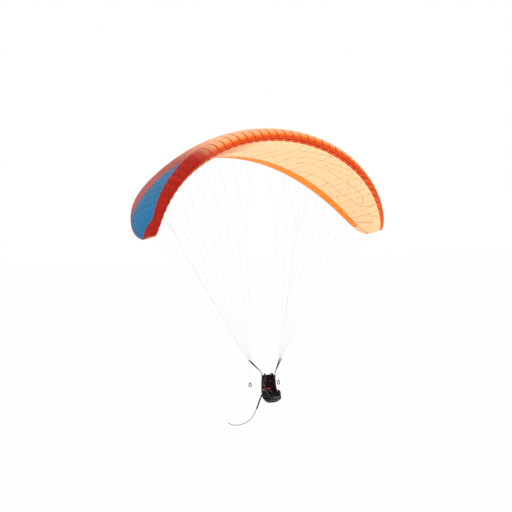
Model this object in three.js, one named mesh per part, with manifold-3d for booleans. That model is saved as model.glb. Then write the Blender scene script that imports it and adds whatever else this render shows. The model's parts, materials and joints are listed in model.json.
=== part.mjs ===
// A paraglider: ram-air canopy, suspension lines, risers, brakes and an open seated harness.
// Millimetres, +Z up, +X along the span, flight direction -Y.
// Origin: the centre of lift, on the chord of the middle of the canopy.
import * as THREE from 'three';
import { mergeVertices } from 'three/addons/utils/BufferGeometryUtils.js';
import Module from 'manifold-3d';

const wasm = await Module();
wasm.setup();

// ---- driving dimensions ----
const DEG = Math.PI / 180;
const GAP = 0.5;                 // between pieces that touch

const HALF_SPAN = 4300;          // centre to tip along X, as flown
const ARCH_DROP = 2690;          // the tip below the middle
const ARCH_ANGLE = 82 * DEG;     // arc parameter of the tip
const CELLS_PER_SIDE = 22;
const TIP_U = 1.04;              // span parameter of the last rib
const ROOT_CHORD = 3170;
const TIP_CHORD_RATIO = 0.433;
const TAPER_POWER = 3;
const LIFT_CHORD = 0.30;         // chord fraction of the origin
const TIP_SWEEP = 650;
const SWEEP_POWER = 2.5;
const THICKNESS = 0.172;         // airfoil thickness over chord
const UPPER_SHARE = 1.35;
const LOWER_SHARE = 0.65;
const CANOPY_PITCH = 9 * DEG;    // nose up, as flown
const SKIN = 1;                  // cloth thickness with its seams
const EDGE_HALF = 1.6;           // half height of the sewn trailing edge
const INLET_TOP = 0.004;         // chord fractions of the two inlet lips, on the lower side of the nose
const INLET_BOTTOM = 0.045;
const TIP_CUT_START = 0.88;      // where the tip outline starts to round off
const TIP_CUT_TRAILING = 320;
const TIP_CUT_LEADING = 110;
const CENTRE_RIB = 7;            // the middle section ends at this rib
const INNER_RIBS = [6, 18];      // ribs with a node of their own on each side
const RIB_INSET = 4;             // a rib stops this far inside the skins
const SEAM_INSET = 0.00012;      // span parameter left free at the side edges of a skin
const TAPE_CHORD = 0.985;        // where the sewn trailing edge starts, and the brake lines tie in
const TAPE_INSET = 0.2;

// chord stations of each skin; a negative fraction lies on the lower side of the nose
const UPPER_STATIONS = [-INLET_TOP, 0.0005, 0.01, 0.03, 0.07, 0.14, 0.24, 0.36, 0.5, 0.74, 1];
const LOWER_STATIONS = [INLET_BOTTOM, 0.14, 0.24, 0.36, 0.5, 0.74, 1];
const RIB_STATIONS = [0.14, 0.24, 0.36, 0.5, 0.74];

const FLAP_RIBS = [8, 15];       // the stretch of trailing edge that the brake pulls down
const FLAP_CHORD = 0.74;         // its hinge line, as a chord fraction
const FLAP_CLEARANCE = 3;
const FLAP_CUT_DEPTH = 1400;     // the cutting box reaches well past the trailing edge
const FLAP_CUT_HEIGHT = 1800;

const MAIN_LINE_R = 1.1;
const UPPER_LINE_R = 0.8;
const LINE_SIDES = 4;
const KNOT_R = 2.2;
const LINE_SPACING = 4;          // between lines that leave one knot
const KNOT_STRETCH = 12;
const ROW_CHORD = { a: 0.09, b: 0.32, c: 0.58 };
const ROW_Y = { a: -55, b: 0, c: 55 };
const LINE_GROUPS = [[2, 4, 6], [8, 10, 12], [14, 16, 18]];
const MAIN_KNOT = 0.62;          // height of the main knot on its way to the canopy
const UPPER_KNOT = 0.84;
const STABILISER_KNOT = 0.86;
const STABILISER_ENDS = [[20, 0.30], [21.7, 0.55]];  // rib and chord fraction
const ATTACH_DROP = 3;           // a line ends this far below the lower skin
const LINE_LOOP_W = 4;
const LINE_LOOP_T = 1.2;
const KNOT_GAP = 0.6;
const BRAKE_RIBS = [9, 11, 13, 14];
const BRAKE_KNOT = 0.74;

const RISER_TOP = new THREE.Vector3(598, 40, -6749);
const HANG_POINT = new THREE.Vector3(250, -120, -7275);
const WEBBING_W = 22;
const WEBBING_T = 2.4;
const LOOP_CLEARANCE = 1.6;      // inside a loop that hangs on a bar
const LOOP_BITE = 0.5;           // how deep a strap's end runs into its own loop
const RISER_NECK = [22, 8, 40];  // from the base loop to where the three straps part
const RISER_LOOP_W = 5;
const RISER_LOOP_T = 1.6;
const CARABINER_H = 104;
const CARABINER_W = 58;
const CARABINER_R = 5;
const BEND_CLEARANCE = 4.4;      // a wide strap's loop needs more room at the carabiner's bend
const GATE_LENGTH = 46;
const GATE_R = 4.4;
const GATE_PIVOT_GAP = 2.6;      // room for the gate's end to turn
const MAILLON_H = 30;
const MAILLON_W = 15;
const MAILLON_R = 2;

const PULLEY_POINT = new THREE.Vector3(548, 118, -6860);
const SHEAVE_R = 9;
const SHEAVE_W = 6;
const AXLE_R = 2;
const AXLE_FIT = 0.08;
const CHEEK_T = 2.2;             // side plates of the pulley
const CHEEK_LIP = 3;
const BRIDGE = [4, 16];          // the pulley's back: thickness and height
const BRAKE_DROP = 560;          // from the pulley to the toggle
const TOGGLE_H = 170;
const TOGGLE_W = 105;
const TOGGLE_T = 16;
const TOGGLE_RIM = 16;
const TOGGLE_NECK = { top: 9, bottom: 14, drop: 34, holeDrop: 48 };
const TOGGLE_BULGE = 70;         // where its sides bend outward

const SEAT_HALF = 190;           // half the inner width of the harness
const SHELL_T = 22;
const SEAT_BACK = 26;            // sets the weight of the harness below its hang points

// side profile of the harness, as points in (Y, Z) from the hang point
const INNER_PROFILE = [
  [50, 35], [78, -120], [98, -330], [92, -520], [40, -622], [-60, -650], [-220, -652], [-350, -640],
];
const PROFILE_STEPS = 18;
const SIDE_START = 6;            // step of the profile where the side panels begin
const SIDE_RIM = { ends: 40, swell: 120 };
const PAD_STEPS = [3, 17];
const PAD = { base: 40, swell: 115, at: 0.78, spread: 0.2, inset: 10 };
// front end of the protector, which curls up ahead of the seat, as points like the profile's
const CURL_INSIDE = [[-352, -668], [-385, -650], [-392, -615], [-392, -575]];
const CURL_OUTSIDE = [[-360, -738], [-415, -712], [-440, -665], [-440, -615], [-425, -575]];
const BOARD = { depth: 270, thickness: 10, inset: 15, y: -195, z: -632 };

// straps, as points from the hang point; the shoulder strap's two branches start at the carabiner
const SIDE_BRANCH = [[246, -6, -150], [228, -60, -330], [222, -80, -520]];
const SHOULDER_BRANCH = [
  [247, -4, -118], [190, -60, -60], [150, -60, 20], [125, 0, 78], [110, 62, 62], [105, 84, 42],
];
const SIDE_WIDTH = 34;
const SHOULDER_WIDTH = 38;
const SHOULDER_T = 5;
const LEG_STRAP = [
  [30, -300, -585], [64, -325, -500], [120, -300, -440], [165, -230, -430], [186, -150, -470],
];
const LEG_WIDTH = 44;
const LEG_T = 6;
const CHEST = { y: -86, z: -150, width: 24, thickness: 2.4, outside: 38, kink: 110, buckle: 24 };
const SOCKET = { size: [46, 13, 38], slot: [42, 6.5, 28], slotShift: 6, x: -4 };
const TONGUE = { size: [34, 4.5, 24], x: 6.4 };

const RESERVE = { radius: 74, length: 96, flatten: 0.55, y: -190, z: -560, gap: 2 };
const HANDLE = { height: 120, width: 46, wire: 7, out: 50 };

// the streaming tail's whole route, as offsets from the middle of the hang points
const TAIL_ROUTE = [
  [-112, 208, -560], [-120, 262, -650], [-128, 316, -745], [-136, 368, -845], [-144, 422, -945],
  [-152, 478, -1045], [-163, 545, -1150], [-176, 628, -1255], [-194, 730, -1355], [-218, 848, -1440],
  [-246, 975, -1510], [-279, 1112, -1562], [-314, 1255, -1594], [-350, 1400, -1606], [-385, 1535, -1594],
  [-414, 1650, -1552],
];
const CORD_R = 9;
const CORD_STEPS = 72;
const SLEEVE_POINTS = 6;         // the sleeve covers the route up to this point
const SLEEVE_R = 24;
const SLEEVE_ROOM = 4;           // between the sleeve and the cord
const END_RING = { height: 56, width: 26, wire: 3 };

// ---- materials ----
const finish = (color, roughness = 0.8, metalness = 0) =>
  new THREE.MeshStandardMaterial({ color, roughness, metalness });
const OUTER_ORANGE = () => finish(0xf08a4a);
const OUTER_BLUE = () => finish(0x1f7cb0);
const INNER_CREAM = () => finish(0xfad7a5);
const TRAILING_ORANGE = () => finish(0xff9114);
const LINE_GREY = () => finish(0xd8d8d6, 0.7);
const BLACK_CLOTH = () => finish(0x141214, 0.9);
const BLACK_WEBBING = () => finish(0x1b1b1d, 0.85);
const STEEL = () => finish(0xb9bcc0, 0.3, 1);
const BLACK_PLASTIC = () => finish(0x28282b, 0.5);
const PLYWOOD = () => finish(0xb58a55, 0.6);
const RED_CLOTH = () => finish(0xb02012, 0.8);

const part = new THREE.Group();
const canopy = new THREE.Group();
canopy.rotation.x = -CANOPY_PITCH;
part.add(canopy);

function add(group, name, geometry, material) {
  const mesh = new THREE.Mesh(geometry, material);
  mesh.name = name;
  group.add(mesh);
  return mesh;
}

// ---- solids and booleans ----
function solidOf(geometry) {
  let plain = geometry.clone();
  plain.deleteAttribute('normal');
  plain.deleteAttribute('uv');
  plain = mergeVertices(plain, 1e-4);
  const vertProperties = new Float32Array(plain.attributes.position.array);
  const triVerts = new Uint32Array(plain.index.array);
  return new wasm.Manifold(new wasm.Mesh({ numProp: 3, vertProperties, triVerts }));
}

function geometryOf(solid) {
  const mesh = solid.getMesh();
  const geometry = new THREE.BufferGeometry();
  geometry.setAttribute('position', new THREE.BufferAttribute(mesh.vertProperties, 3));
  geometry.setIndex(new THREE.BufferAttribute(mesh.triVerts, 1));
  return geometry;
}

function join(geometries) {
  return geometryOf(geometries.map(solidOf).reduce((sum, next) => sum.add(next)));
}

const cut = (geometry, cutter) => geometryOf(solidOf(geometry).subtract(solidOf(cutter)));
const common = (geometry, other) => geometryOf(solidOf(geometry).intersect(solidOf(other)));

function indexed(points, faces) {
  const geometry = new THREE.BufferGeometry();
  geometry.setFromPoints(points);
  geometry.setIndex(faces);
  return geometry;
}

// a thin closed sheet between two grids of points that face each other
function sheetSolid(outer, inner) {
  const rows = outer.length;
  const columns = outer[0].length;
  const points = [...outer.flat(), ...inner.flat()];
  const half = rows * columns;
  const faces = [];
  const quad = (a, b, c, d) => faces.push(a, b, c, a, c, d);
  const at = (i, j) => i * columns + j;
  for (let i = 0; i < rows - 1; i += 1) {
    for (let j = 0; j < columns - 1; j += 1) {
      quad(at(i, j), at(i + 1, j), at(i + 1, j + 1), at(i, j + 1));
      quad(half + at(i, j), half + at(i, j + 1), half + at(i + 1, j + 1), half + at(i + 1, j));
    }
    const last = columns - 1;
    quad(at(i, 0), half + at(i, 0), half + at(i + 1, 0), at(i + 1, 0));
    quad(at(i, last), at(i + 1, last), half + at(i + 1, last), half + at(i, last));
  }
  for (let j = 0; j < columns - 1; j += 1) {
    const last = rows - 1;
    quad(at(0, j), at(0, j + 1), half + at(0, j + 1), half + at(0, j));
    quad(at(last, j), half + at(last, j), half + at(last, j + 1), at(last, j + 1));
  }
  return facingOut(indexed(points, faces));
}

// a solid through rings of points, closed by flat fans at both ends
function loft(rings) {
  const sides = rings[0].length;
  const points = rings.flat();
  const faces = [];
  for (let i = 0; i < rings.length - 1; i += 1) {
    for (let k = 0; k < sides; k += 1) {
      const next = (k + 1) % sides;
      const a = i * sides + k;
      const b = i * sides + next;
      faces.push(a, b, b + sides, a, b + sides, a + sides);
    }
  }
  const end = (rings.length - 1) * sides;
  for (let k = 1; k < sides - 1; k += 1) {
    faces.push(0, k + 1, k);
    faces.push(end, end + k, end + k + 1);
  }
  return facingOut(indexed(points, faces));
}

// turns every face over where the closed mesh was wound inside out
function facingOut(geometry) {
  const p = geometry.attributes.position;
  const index = geometry.index.array;
  const [a, b, c] = [new THREE.Vector3(), new THREE.Vector3(), new THREE.Vector3()];
  let volume = 0;
  for (let i = 0; i < index.length; i += 3) {
    a.fromBufferAttribute(p, index[i]);
    b.fromBufferAttribute(p, index[i + 1]);
    c.fromBufferAttribute(p, index[i + 2]);
    volume += a.dot(b.cross(c));
  }
  if (volume < 0) {
    for (let i = 0; i < index.length; i += 3) {
      [index[i + 1], index[i + 2]] = [index[i + 2], index[i + 1]];
    }
  }
  return geometry;
}

function cylinderBetween(from, to, radius, sides = LINE_SIDES) {
  const along = new THREE.Vector3().subVectors(to, from);
  const geometry = new THREE.CylinderGeometry(radius, radius, along.length(), sides, 1);
  const turn = new THREE.Quaternion().setFromUnitVectors(
    new THREE.Vector3(0, 1, 0), along.clone().normalize());
  geometry.applyQuaternion(turn);
  const middle = new THREE.Vector3().addVectors(from, to).multiplyScalar(0.5);
  geometry.translate(middle.x, middle.y, middle.z);
  return geometry;
}

// ---- shape of the canopy ----
const uOfRib = (rib) => (rib * TIP_U) / CELLS_PER_SIDE;
const mirrored = (side) => (side === 'left' ? -1 : 1);

function archPoint(u) {
  const angle = u * ARCH_ANGLE;
  return {
    x: (HALF_SPAN * Math.sin(angle)) / Math.sin(ARCH_ANGLE),
    z: (-ARCH_DROP * (1 - Math.cos(angle))) / (1 - Math.cos(ARCH_ANGLE)),
  };
}

function archNormal(u) {
  const angle = u * ARCH_ANGLE;
  const dx = (HALF_SPAN * Math.cos(angle)) / Math.sin(ARCH_ANGLE);
  const dz = (-ARCH_DROP * Math.sin(angle)) / (1 - Math.cos(ARCH_ANGLE));
  return new THREE.Vector3(-dz, 0, dx).normalize();
}

function edges(u) {
  const span = Math.abs(u);
  const chord = ROOT_CHORD * (1 - (1 - TIP_CHORD_RATIO) * span ** TAPER_POWER);
  const leading = -LIFT_CHORD * ROOT_CHORD + TIP_SWEEP * span ** SWEEP_POWER;
  const tip = Math.max(0, (span - TIP_CUT_START) / (TIP_U - TIP_CUT_START));
  return {
    leading: leading + TIP_CUT_LEADING * tip ** 4,
    trailing: leading + chord - TIP_CUT_TRAILING * tip ** 4,
  };
}

const halfThickness = (f) => 5 * THICKNESS
  * (0.2969 * Math.sqrt(f) - 0.126 * f - 0.3516 * f ** 2 + 0.2843 * f ** 3 - 0.1036 * f ** 4);

// a point of the canopy: span parameter, chord fraction, share of the half thickness, extra height
function canopyPoint(u, f, share, lift = 0) {
  const { leading, trailing } = edges(u);
  const chord = trailing - leading;
  const base = archPoint(u);
  const height = share * halfThickness(f) * chord + lift;
  const normal = archNormal(u);
  return new THREE.Vector3(base.x + normal.x * height, leading + f * chord, base.z + normal.z * height);
}

const upperPoint = (u, f, drop = 0) => (f < 0
  ? canopyPoint(u, -f, -LOWER_SHARE, EDGE_HALF * f + drop)
  : canopyPoint(u, f, UPPER_SHARE, EDGE_HALF - drop));
const lowerPoint = (u, f, rise = 0) => canopyPoint(u, f, -LOWER_SHARE, -EDGE_HALF + rise);

function offsetGrid(grid, distance) {
  const clampRow = (i) => Math.min(Math.max(i, 0), grid.length - 1);
  const clampColumn = (j) => Math.min(Math.max(j, 0), grid[0].length - 1);
  return grid.map((row, i) => row.map((point, j) => {
    const alongRow = grid[clampRow(i + 1)][j].clone().sub(grid[clampRow(i - 1)][j]);
    const alongColumn = grid[i][clampColumn(j + 1)].clone().sub(grid[i][clampColumn(j - 1)]);
    const normal = alongRow.cross(alongColumn).normalize();
    return point.clone().addScaledVector(normal, distance);
  }));
}

function spanStations(firstRib, lastRib) {
  const list = [];
  for (let rib = firstRib; rib <= lastRib; rib += 1) list.push(uOfRib(rib));
  list[0] += SEAM_INSET;
  list[list.length - 1] -= SEAM_INSET;
  return list;
}

function upperSkin(firstRib, lastRib) {
  const grid = spanStations(firstRib, lastRib).map((u) => UPPER_STATIONS.map((f) => upperPoint(u, f)));
  return sheetSolid(grid, offsetGrid(grid, -SKIN));
}

function lowerSkin(firstRib, lastRib) {
  const grid = spanStations(firstRib, lastRib).map((u) => LOWER_STATIONS.map((f) => lowerPoint(u, f)));
  return sheetSolid(grid, offsetGrid(grid, SKIN));
}

// the sewn trailing edge, which joins the two skins of the flap
function trailingTape(firstRib, lastRib) {
  return loft(spanStations(firstRib, lastRib).map((u) => [
    upperPoint(u, TAPE_CHORD, TAPE_INSET), upperPoint(u, 1, TAPE_INSET),
    lowerPoint(u, 1, TAPE_INSET), lowerPoint(u, TAPE_CHORD, TAPE_INSET),
  ]));
}

function rib(index) {
  const nose = [[0.03, 0.02], [0.07, INLET_BOTTOM]];
  const stations = [...nose, ...RIB_STATIONS.map((f) => [f, f])];
  const face = (u) => stations.map(([top, bottom]) => [
    canopyPoint(u, top, UPPER_SHARE, -RIB_INSET), canopyPoint(u, bottom, -LOWER_SHARE, RIB_INSET),
  ]);
  const half = 0.0001 * (index < 0 ? -1 : 1);
  return sheetSolid(face(uOfRib(index) + half), face(uOfRib(index) - half));
}

// the brake flap: a straight hinge line across the arch, and a box aft of it
function flapFrame(sign) {
  const corner = (r) => canopyPoint(sign * uOfRib(r), FLAP_CHORD, -LOWER_SHARE, -EDGE_HALF);
  const [first, last] = FLAP_RIBS.map(corner);
  const axis = last.clone().sub(first).setY(0).normalize();
  const middle = first.clone().add(last).multiplyScalar(0.5);
  middle.y = Math.max(first.y, last.y);
  return { axis, middle, length: first.distanceTo(last) };
}

function flapBox(sign, grow) {
  const { axis, middle, length } = flapFrame(sign);
  const box = new THREE.BoxGeometry(length + 2 * grow, FLAP_CUT_DEPTH, FLAP_CUT_HEIGHT);
  const up = new THREE.Vector3().crossVectors(axis, new THREE.Vector3(0, 1, 0)).normalize();
  box.applyMatrix4(new THREE.Matrix4().makeBasis(axis, new THREE.Vector3(0, 1, 0), up));
  box.translate(middle.x, middle.y + FLAP_CUT_DEPTH / 2 - grow, middle.z);
  return box;
}

function buildCanopy() {
  add(canopy, 'upper_skin_centre', upperSkin(-CENTRE_RIB, CENTRE_RIB), OUTER_ORANGE());
  add(canopy, 'lower_skin_centre', lowerSkin(-CENTRE_RIB, CENTRE_RIB), INNER_CREAM());
  for (const side of ['left', 'right']) {
    const sign = mirrored(side);
    const range = [CENTRE_RIB, CELLS_PER_SIDE].map((r) => r * sign).sort((a, b) => a - b);
    const upper = upperSkin(...range);
    const lower = lowerSkin(...range);
    const inside = flapBox(sign, 0);
    const opening = flapBox(sign, FLAP_CLEARANCE);
    const outer = side === 'left' ? OUTER_BLUE() : OUTER_ORANGE();
    add(canopy, `upper_skin_${side}`, cut(upper, opening), outer);
    add(canopy, `lower_skin_${side}`, cut(lower, opening), INNER_CREAM());
    const parts = [upper, lower, trailingTape(...range)];
    add(canopy, `brake_flap_${side}`, join(parts.map((piece) => common(piece, inside))), TRAILING_ORANGE());
    for (const index of INNER_RIBS) {
      add(canopy, `rib_${side}_${index}`, rib(sign * index), INNER_CREAM());
    }
    add(canopy, `tip_rib_${side}`, rib(sign * CELLS_PER_SIDE), RED_CLOTH());
  }
  add(canopy, 'rib_centre', rib(0), INNER_CREAM());
}

// ---- suspension lines ----
function attachPoint(sign, ribIndex, chordFraction) {
  const point = canopyPoint(sign * uOfRib(ribIndex), chordFraction, -LOWER_SHARE, -EDGE_HALF - ATTACH_DROP);
  return point.applyAxisAngle(new THREE.Vector3(1, 0, 0), -CANOPY_PITCH);
}

function average(points) {
  const sum = points.reduce((total, point) => total.add(point), new THREE.Vector3());
  return sum.multiplyScalar(1 / points.length);
}

// a straight line as a thin tube; a short stretch at an end that enters a knot keeps the join clean
function lineTube(from, to, radius, endsInKnot) {
  const along = to.clone().sub(from);
  const length = along.length();
  along.normalize();
  const first = new THREE.Vector3(0, 1, 0).cross(along).normalize();
  const second = along.clone().cross(first);
  const stops = [0, KNOT_STRETCH, length - KNOT_STRETCH, length];
  if (!endsInKnot) stops.splice(2, 1);
  return loft(stops.map((stop) => Array.from({ length: LINE_SIDES }, (_, k) => {
    const turn = (2 * Math.PI * k) / LINE_SIDES;
    return from.clone().addScaledVector(along, stop)
      .addScaledVector(first, radius * Math.cos(turn))
      .addScaledVector(second, radius * Math.sin(turn));
  })));
}

// a short bar across the lines where one splits, and the lines that leave it side by side
function fanOut(from, ends, radius, endsInKnot = () => false) {
  const directions = ends.map((end) => end.clone().sub(from).normalize());
  const mean = average(directions).normalize();
  const spread = directions[directions.length - 1].clone().sub(directions[0]);
  const across = spread.addScaledVector(mean, -spread.dot(mean)).normalize();
  const order = ends.map((_, i) => i).sort((i, j) => directions[i].dot(across) - directions[j].dot(across));
  const half = ((ends.length - 1) * LINE_SPACING) / 2;
  const barEnd = across.clone().multiplyScalar(half + KNOT_R);
  const pieces = [cylinderBetween(from.clone().sub(barEnd), from.clone().add(barEnd), KNOT_R, 6)];
  order.forEach((i, rank) => {
    const start = from.clone().addScaledVector(across, rank * LINE_SPACING - half);
    pieces.push(lineTube(start, ends[i], radius, endsInKnot(i)));
  });
  return pieces;
}

// a row of lines from one maillon: main lines, then two or three upper lines on each
function lineTree(start, groups) {
  const knots = groups.map(({ ends, first }) => start.clone().lerp(average(ends), first));
  const pieces = fanOut(start, knots, MAIN_LINE_R, () => true);
  groups.forEach(({ ends, second }, i) => {
    if (ends.length < 3) {
      pieces.push(...fanOut(knots[i], ends, UPPER_LINE_R));
      return;
    }
    const pair = ends.slice(0, 2);
    const upperKnot = knots[i].clone().lerp(average(pair), second);
    pieces.push(...fanOut(knots[i], [upperKnot, ends[2]], UPPER_LINE_R, (child) => child === 0));
    pieces.push(...fanOut(upperKnot, pair, UPPER_LINE_R));
  });
  return pieces;
}

function maillonCentre(sign, row) {
  return new THREE.Vector3(sign * RISER_TOP.x, RISER_TOP.y + ROW_Y[row], RISER_TOP.z);
}

function buildLines() {
  const second = (UPPER_KNOT - MAIN_KNOT) / (1 - MAIN_KNOT);
  for (const side of ['left', 'right']) {
    const sign = mirrored(side);
    for (const row of ['a', 'b', 'c']) {
      const bar = maillonCentre(sign, row);
      bar.z += MAILLON_H / 2 - MAILLON_R;
      const start = bar.clone();
      start.z += MAILLON_R + LOOP_CLEARANCE + KNOT_R + KNOT_GAP;
      const groups = LINE_GROUPS.map((ribs) => ({
        ends: ribs.map((r) => attachPoint(sign, r, ROW_CHORD[row])), first: MAIN_KNOT, second,
      }));
      if (row === 'c') {
        const ends = STABILISER_ENDS.map(([r, chord]) => attachPoint(sign, r, chord));
        groups.push({ ends, first: STABILISER_KNOT, second });
      }
      const loop = strapLoop(bar, MAILLON_R + LOOP_CLEARANCE, LINE_LOOP_W, LINE_LOOP_T, 8);
      add(part, `lines_${row}_${side}`, join([loop, ...lineTree(start, groups)]), LINE_GREY());
    }
  }
}

// ---- risers, maillons and carabiners ----
// a flat strap through points, its width along X
function strap(points, width, thickness, widthAxis = new THREE.Vector3(1, 0, 0)) {
  const rings = points.map((point, i) => {
    const before = points[Math.max(i - 1, 0)];
    const after = points[Math.min(i + 1, points.length - 1)];
    const along = after.clone().sub(before).normalize();
    const face = along.clone().cross(widthAxis).normalize().multiplyScalar(thickness / 2);
    const half = widthAxis.clone().multiplyScalar(width / 2);
    return [
      point.clone().add(half).add(face), point.clone().sub(half).add(face),
      point.clone().sub(half).sub(face), point.clone().add(half).sub(face),
    ];
  });
  return loft(rings);
}

// a strap's loop around a bar that runs along X
function strapLoop(centre, innerRadius, width, thickness, sides = 10) {
  const outer = new THREE.CylinderGeometry(innerRadius + thickness, innerRadius + thickness, width, sides);
  const inner = new THREE.CylinderGeometry(innerRadius, innerRadius, width + 2, sides);
  const ring = cut(outer, inner);
  ring.rotateZ(Math.PI / 2);
  ring.translate(centre.x, centre.y, centre.z);
  return ring;
}

// a closed ring of round wire in the XZ plane, longer than it is wide
function linkRing(height, width, wire, around = 14, sides = 6) {
  const radius = (width - 2 * wire) / 2;
  const straight = (height - 2 * wire) / 2 - radius;
  const outline = [];
  for (let i = 0; i < around; i += 1) {
    const angle = ((i + 0.5) / around) * 2 * Math.PI;
    const shift = Math.sin(angle) > 0 ? straight : -straight;
    outline.push(new THREE.Vector3(radius * Math.cos(angle), 0, radius * Math.sin(angle) + shift));
  }
  const positions = [];
  const faces = [];
  outline.forEach((point, i) => {
    const next = outline[(i + 1) % around];
    const before = outline[(i + around - 1) % around];
    const along = next.clone().sub(before).normalize();
    const out = along.clone().cross(new THREE.Vector3(0, 1, 0));
    for (let k = 0; k < sides; k += 1) {
      const turn = (k / sides) * 2 * Math.PI;
      const offset = out.clone().multiplyScalar(wire * Math.cos(turn));
      offset.y += wire * Math.sin(turn);
      positions.push(point.clone().add(offset));
      const a = i * sides + k;
      const b = i * sides + ((k + 1) % sides);
      const shiftRing = sides * (((i + 1) % around) - i);
      faces.push(a, b, b + shiftRing, a, b + shiftRing, a + shiftRing);
    }
  });
  return facingOut(indexed(positions, faces));
}

function buildMaillons() {
  for (const side of ['left', 'right']) {
    for (const row of ['a', 'b', 'c']) {
      const centre = maillonCentre(mirrored(side), row);
      const geometry = linkRing(MAILLON_H, MAILLON_W, MAILLON_R, 12, 5);
      const ring = add(part, `maillon_${row}_${side}`, geometry, STEEL());
      ring.position.copy(centre);
    }
  }
}

function buildRisers() {
  for (const side of ['left', 'right']) {
    const sign = mirrored(side);
    const hang = new THREE.Vector3(sign * HANG_POINT.x, HANG_POINT.y, HANG_POINT.z);
    const base = hang.clone();
    base.z += CARABINER_H - 2 * CARABINER_R;
    const loopRadius = CARABINER_R + BEND_CLEARANCE;
    const [neckX, neckY, neckZ] = RISER_NECK;
    const neck = base.clone().add(new THREE.Vector3(sign * neckX, neckY, neckZ));
    const pieces = [strapLoop(base, loopRadius, WEBBING_W, WEBBING_T)];
    const first = base.clone().add(new THREE.Vector3(0, 0, loopRadius + LOOP_BITE));
    pieces.push(strap([first, neck], WEBBING_W, 4 * WEBBING_T));
    for (const row of ['a', 'b', 'c']) {
      const maillon = maillonCentre(sign, row);
      maillon.z -= MAILLON_H / 2 - MAILLON_R;
      const top = maillon.clone();
      top.z -= MAILLON_R + LOOP_CLEARANCE + RISER_LOOP_T / 2;
      const start = neck.clone();
      start.z -= 4;
      start.y += Math.sign(ROW_Y[row]) * WEBBING_T;
      pieces.push(strap([start, top], WEBBING_W * (row === 'b' ? 1 : 0.9), WEBBING_T));
      pieces.push(strapLoop(maillon, MAILLON_R + LOOP_CLEARANCE, RISER_LOOP_W, RISER_LOOP_T, 8));
    }
    add(part, `riser_${side}`, join(pieces), BLACK_WEBBING());
  }
}

// the carabiner: a link with a gate in its inner long side
function buildCarabiners() {
  for (const side of ['left', 'right']) {
    const sign = mirrored(side);
    const centre = new THREE.Vector3(sign * HANG_POINT.x, HANG_POINT.y, HANG_POINT.z);
    centre.z += CARABINER_H / 2 - CARABINER_R;
    const sideX = -sign * (CARABINER_W / 2 - CARABINER_R);
    const window = new THREE.BoxGeometry(4 * CARABINER_R, 4 * CARABINER_R, GATE_LENGTH + 2 * GAP);
    window.translate(sideX, 0, 0);
    const body = cut(linkRing(CARABINER_H, CARABINER_W, CARABINER_R, 16, 6), window);
    const half = GATE_LENGTH / 2;
    const gate = cylinderBetween(
      new THREE.Vector3(sideX, 0, GATE_PIVOT_GAP - half), new THREE.Vector3(sideX, 0, half), GATE_R, 8);
    add(part, `carabiner_${side}`, body, STEEL()).position.copy(centre);
    add(part, `carabiner_gate_${side}`, gate, STEEL()).position.copy(centre);
  }
}

// ---- brakes ----
function brakeGeometry(sign) {
  const bend = new THREE.Vector3(sign * PULLEY_POINT.x, PULLEY_POINT.y, PULLEY_POINT.z);
  const ends = BRAKE_RIBS.map((r) => attachPoint(sign, r, TAPE_CHORD));
  const knot = bend.clone().lerp(average(ends), BRAKE_KNOT);
  const outward = knot.clone().sub(bend).setZ(0).normalize();
  const axle = new THREE.Vector3().crossVectors(outward, new THREE.Vector3(0, 0, 1));
  return { bend, ends, knot, outward, axle };
}

function buildBrakes() {
  for (const side of ['left', 'right']) {
    const { bend, ends, knot, outward, axle } = brakeGeometry(mirrored(side));
    const upperStart = bend.clone().lerp(knot, 0.002);
    const upperEnd = knot.clone().lerp(bend, 0.0012);
    add(part, `brake_main_${side}`, cylinderBetween(upperStart, upperEnd, MAIN_LINE_R), LINE_GREY());
    add(part, `brake_fan_${side}`, join(fanOut(knot, ends, UPPER_LINE_R)), LINE_GREY());
    const toggleTop = bend.clone().add(new THREE.Vector3(0, 0, -BRAKE_DROP));
    const lowerStart = bend.clone().add(new THREE.Vector3(0, 0, -2));
    const lowerEnd = toggleTop.clone().add(new THREE.Vector3(0, 0, GAP));
    add(part, `brake_line_${side}`, cylinderBetween(lowerStart, lowerEnd, MAIN_LINE_R), LINE_GREY());
    buildToggle(side, toggleTop);
    buildPulley(side, bend, outward, axle);
  }
}

// one side curve of the toggle's outline, and the round bottom of it
function toggleEnd(path, half, drop) {
  const low = TOGGLE_W / 2 - TOGGLE_H;
  path.quadraticCurveTo(-half, -drop, -half, low);
  path.absarc(0, low, half, Math.PI, 2 * Math.PI, false);
}

// the toggle: a loop of padded webbing with a flat neck
function buildToggle(side, top) {
  const half = TOGGLE_W / 2;
  const { top: neckTop, bottom: neckBottom, drop, holeDrop } = TOGGLE_NECK;
  const outline = new THREE.Shape();
  outline.moveTo(-neckTop, 0);
  outline.lineTo(-neckBottom, -drop);
  toggleEnd(outline, half, TOGGLE_BULGE);
  outline.quadraticCurveTo(half, -TOGGLE_BULGE, neckBottom, -drop);
  outline.lineTo(neckTop, 0);
  outline.closePath();
  const hole = new THREE.Path();
  const inner = half - TOGGLE_RIM;
  const holeBulge = TOGGLE_BULGE + 6;
  hole.moveTo(0, -holeDrop);
  toggleEnd(hole, inner, holeBulge);
  hole.quadraticCurveTo(inner, -holeBulge, 0, -holeDrop);
  outline.holes.push(hole);
  const options = { depth: TOGGLE_T, bevelEnabled: false, curveSegments: 6 };
  const geometry = new THREE.ExtrudeGeometry(outline, options);
  geometry.translate(0, 0, -TOGGLE_T / 2);
  geometry.rotateX(Math.PI / 2);
  add(part, `brake_toggle_${side}`, geometry, BLACK_WEBBING()).position.copy(top);
}

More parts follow.
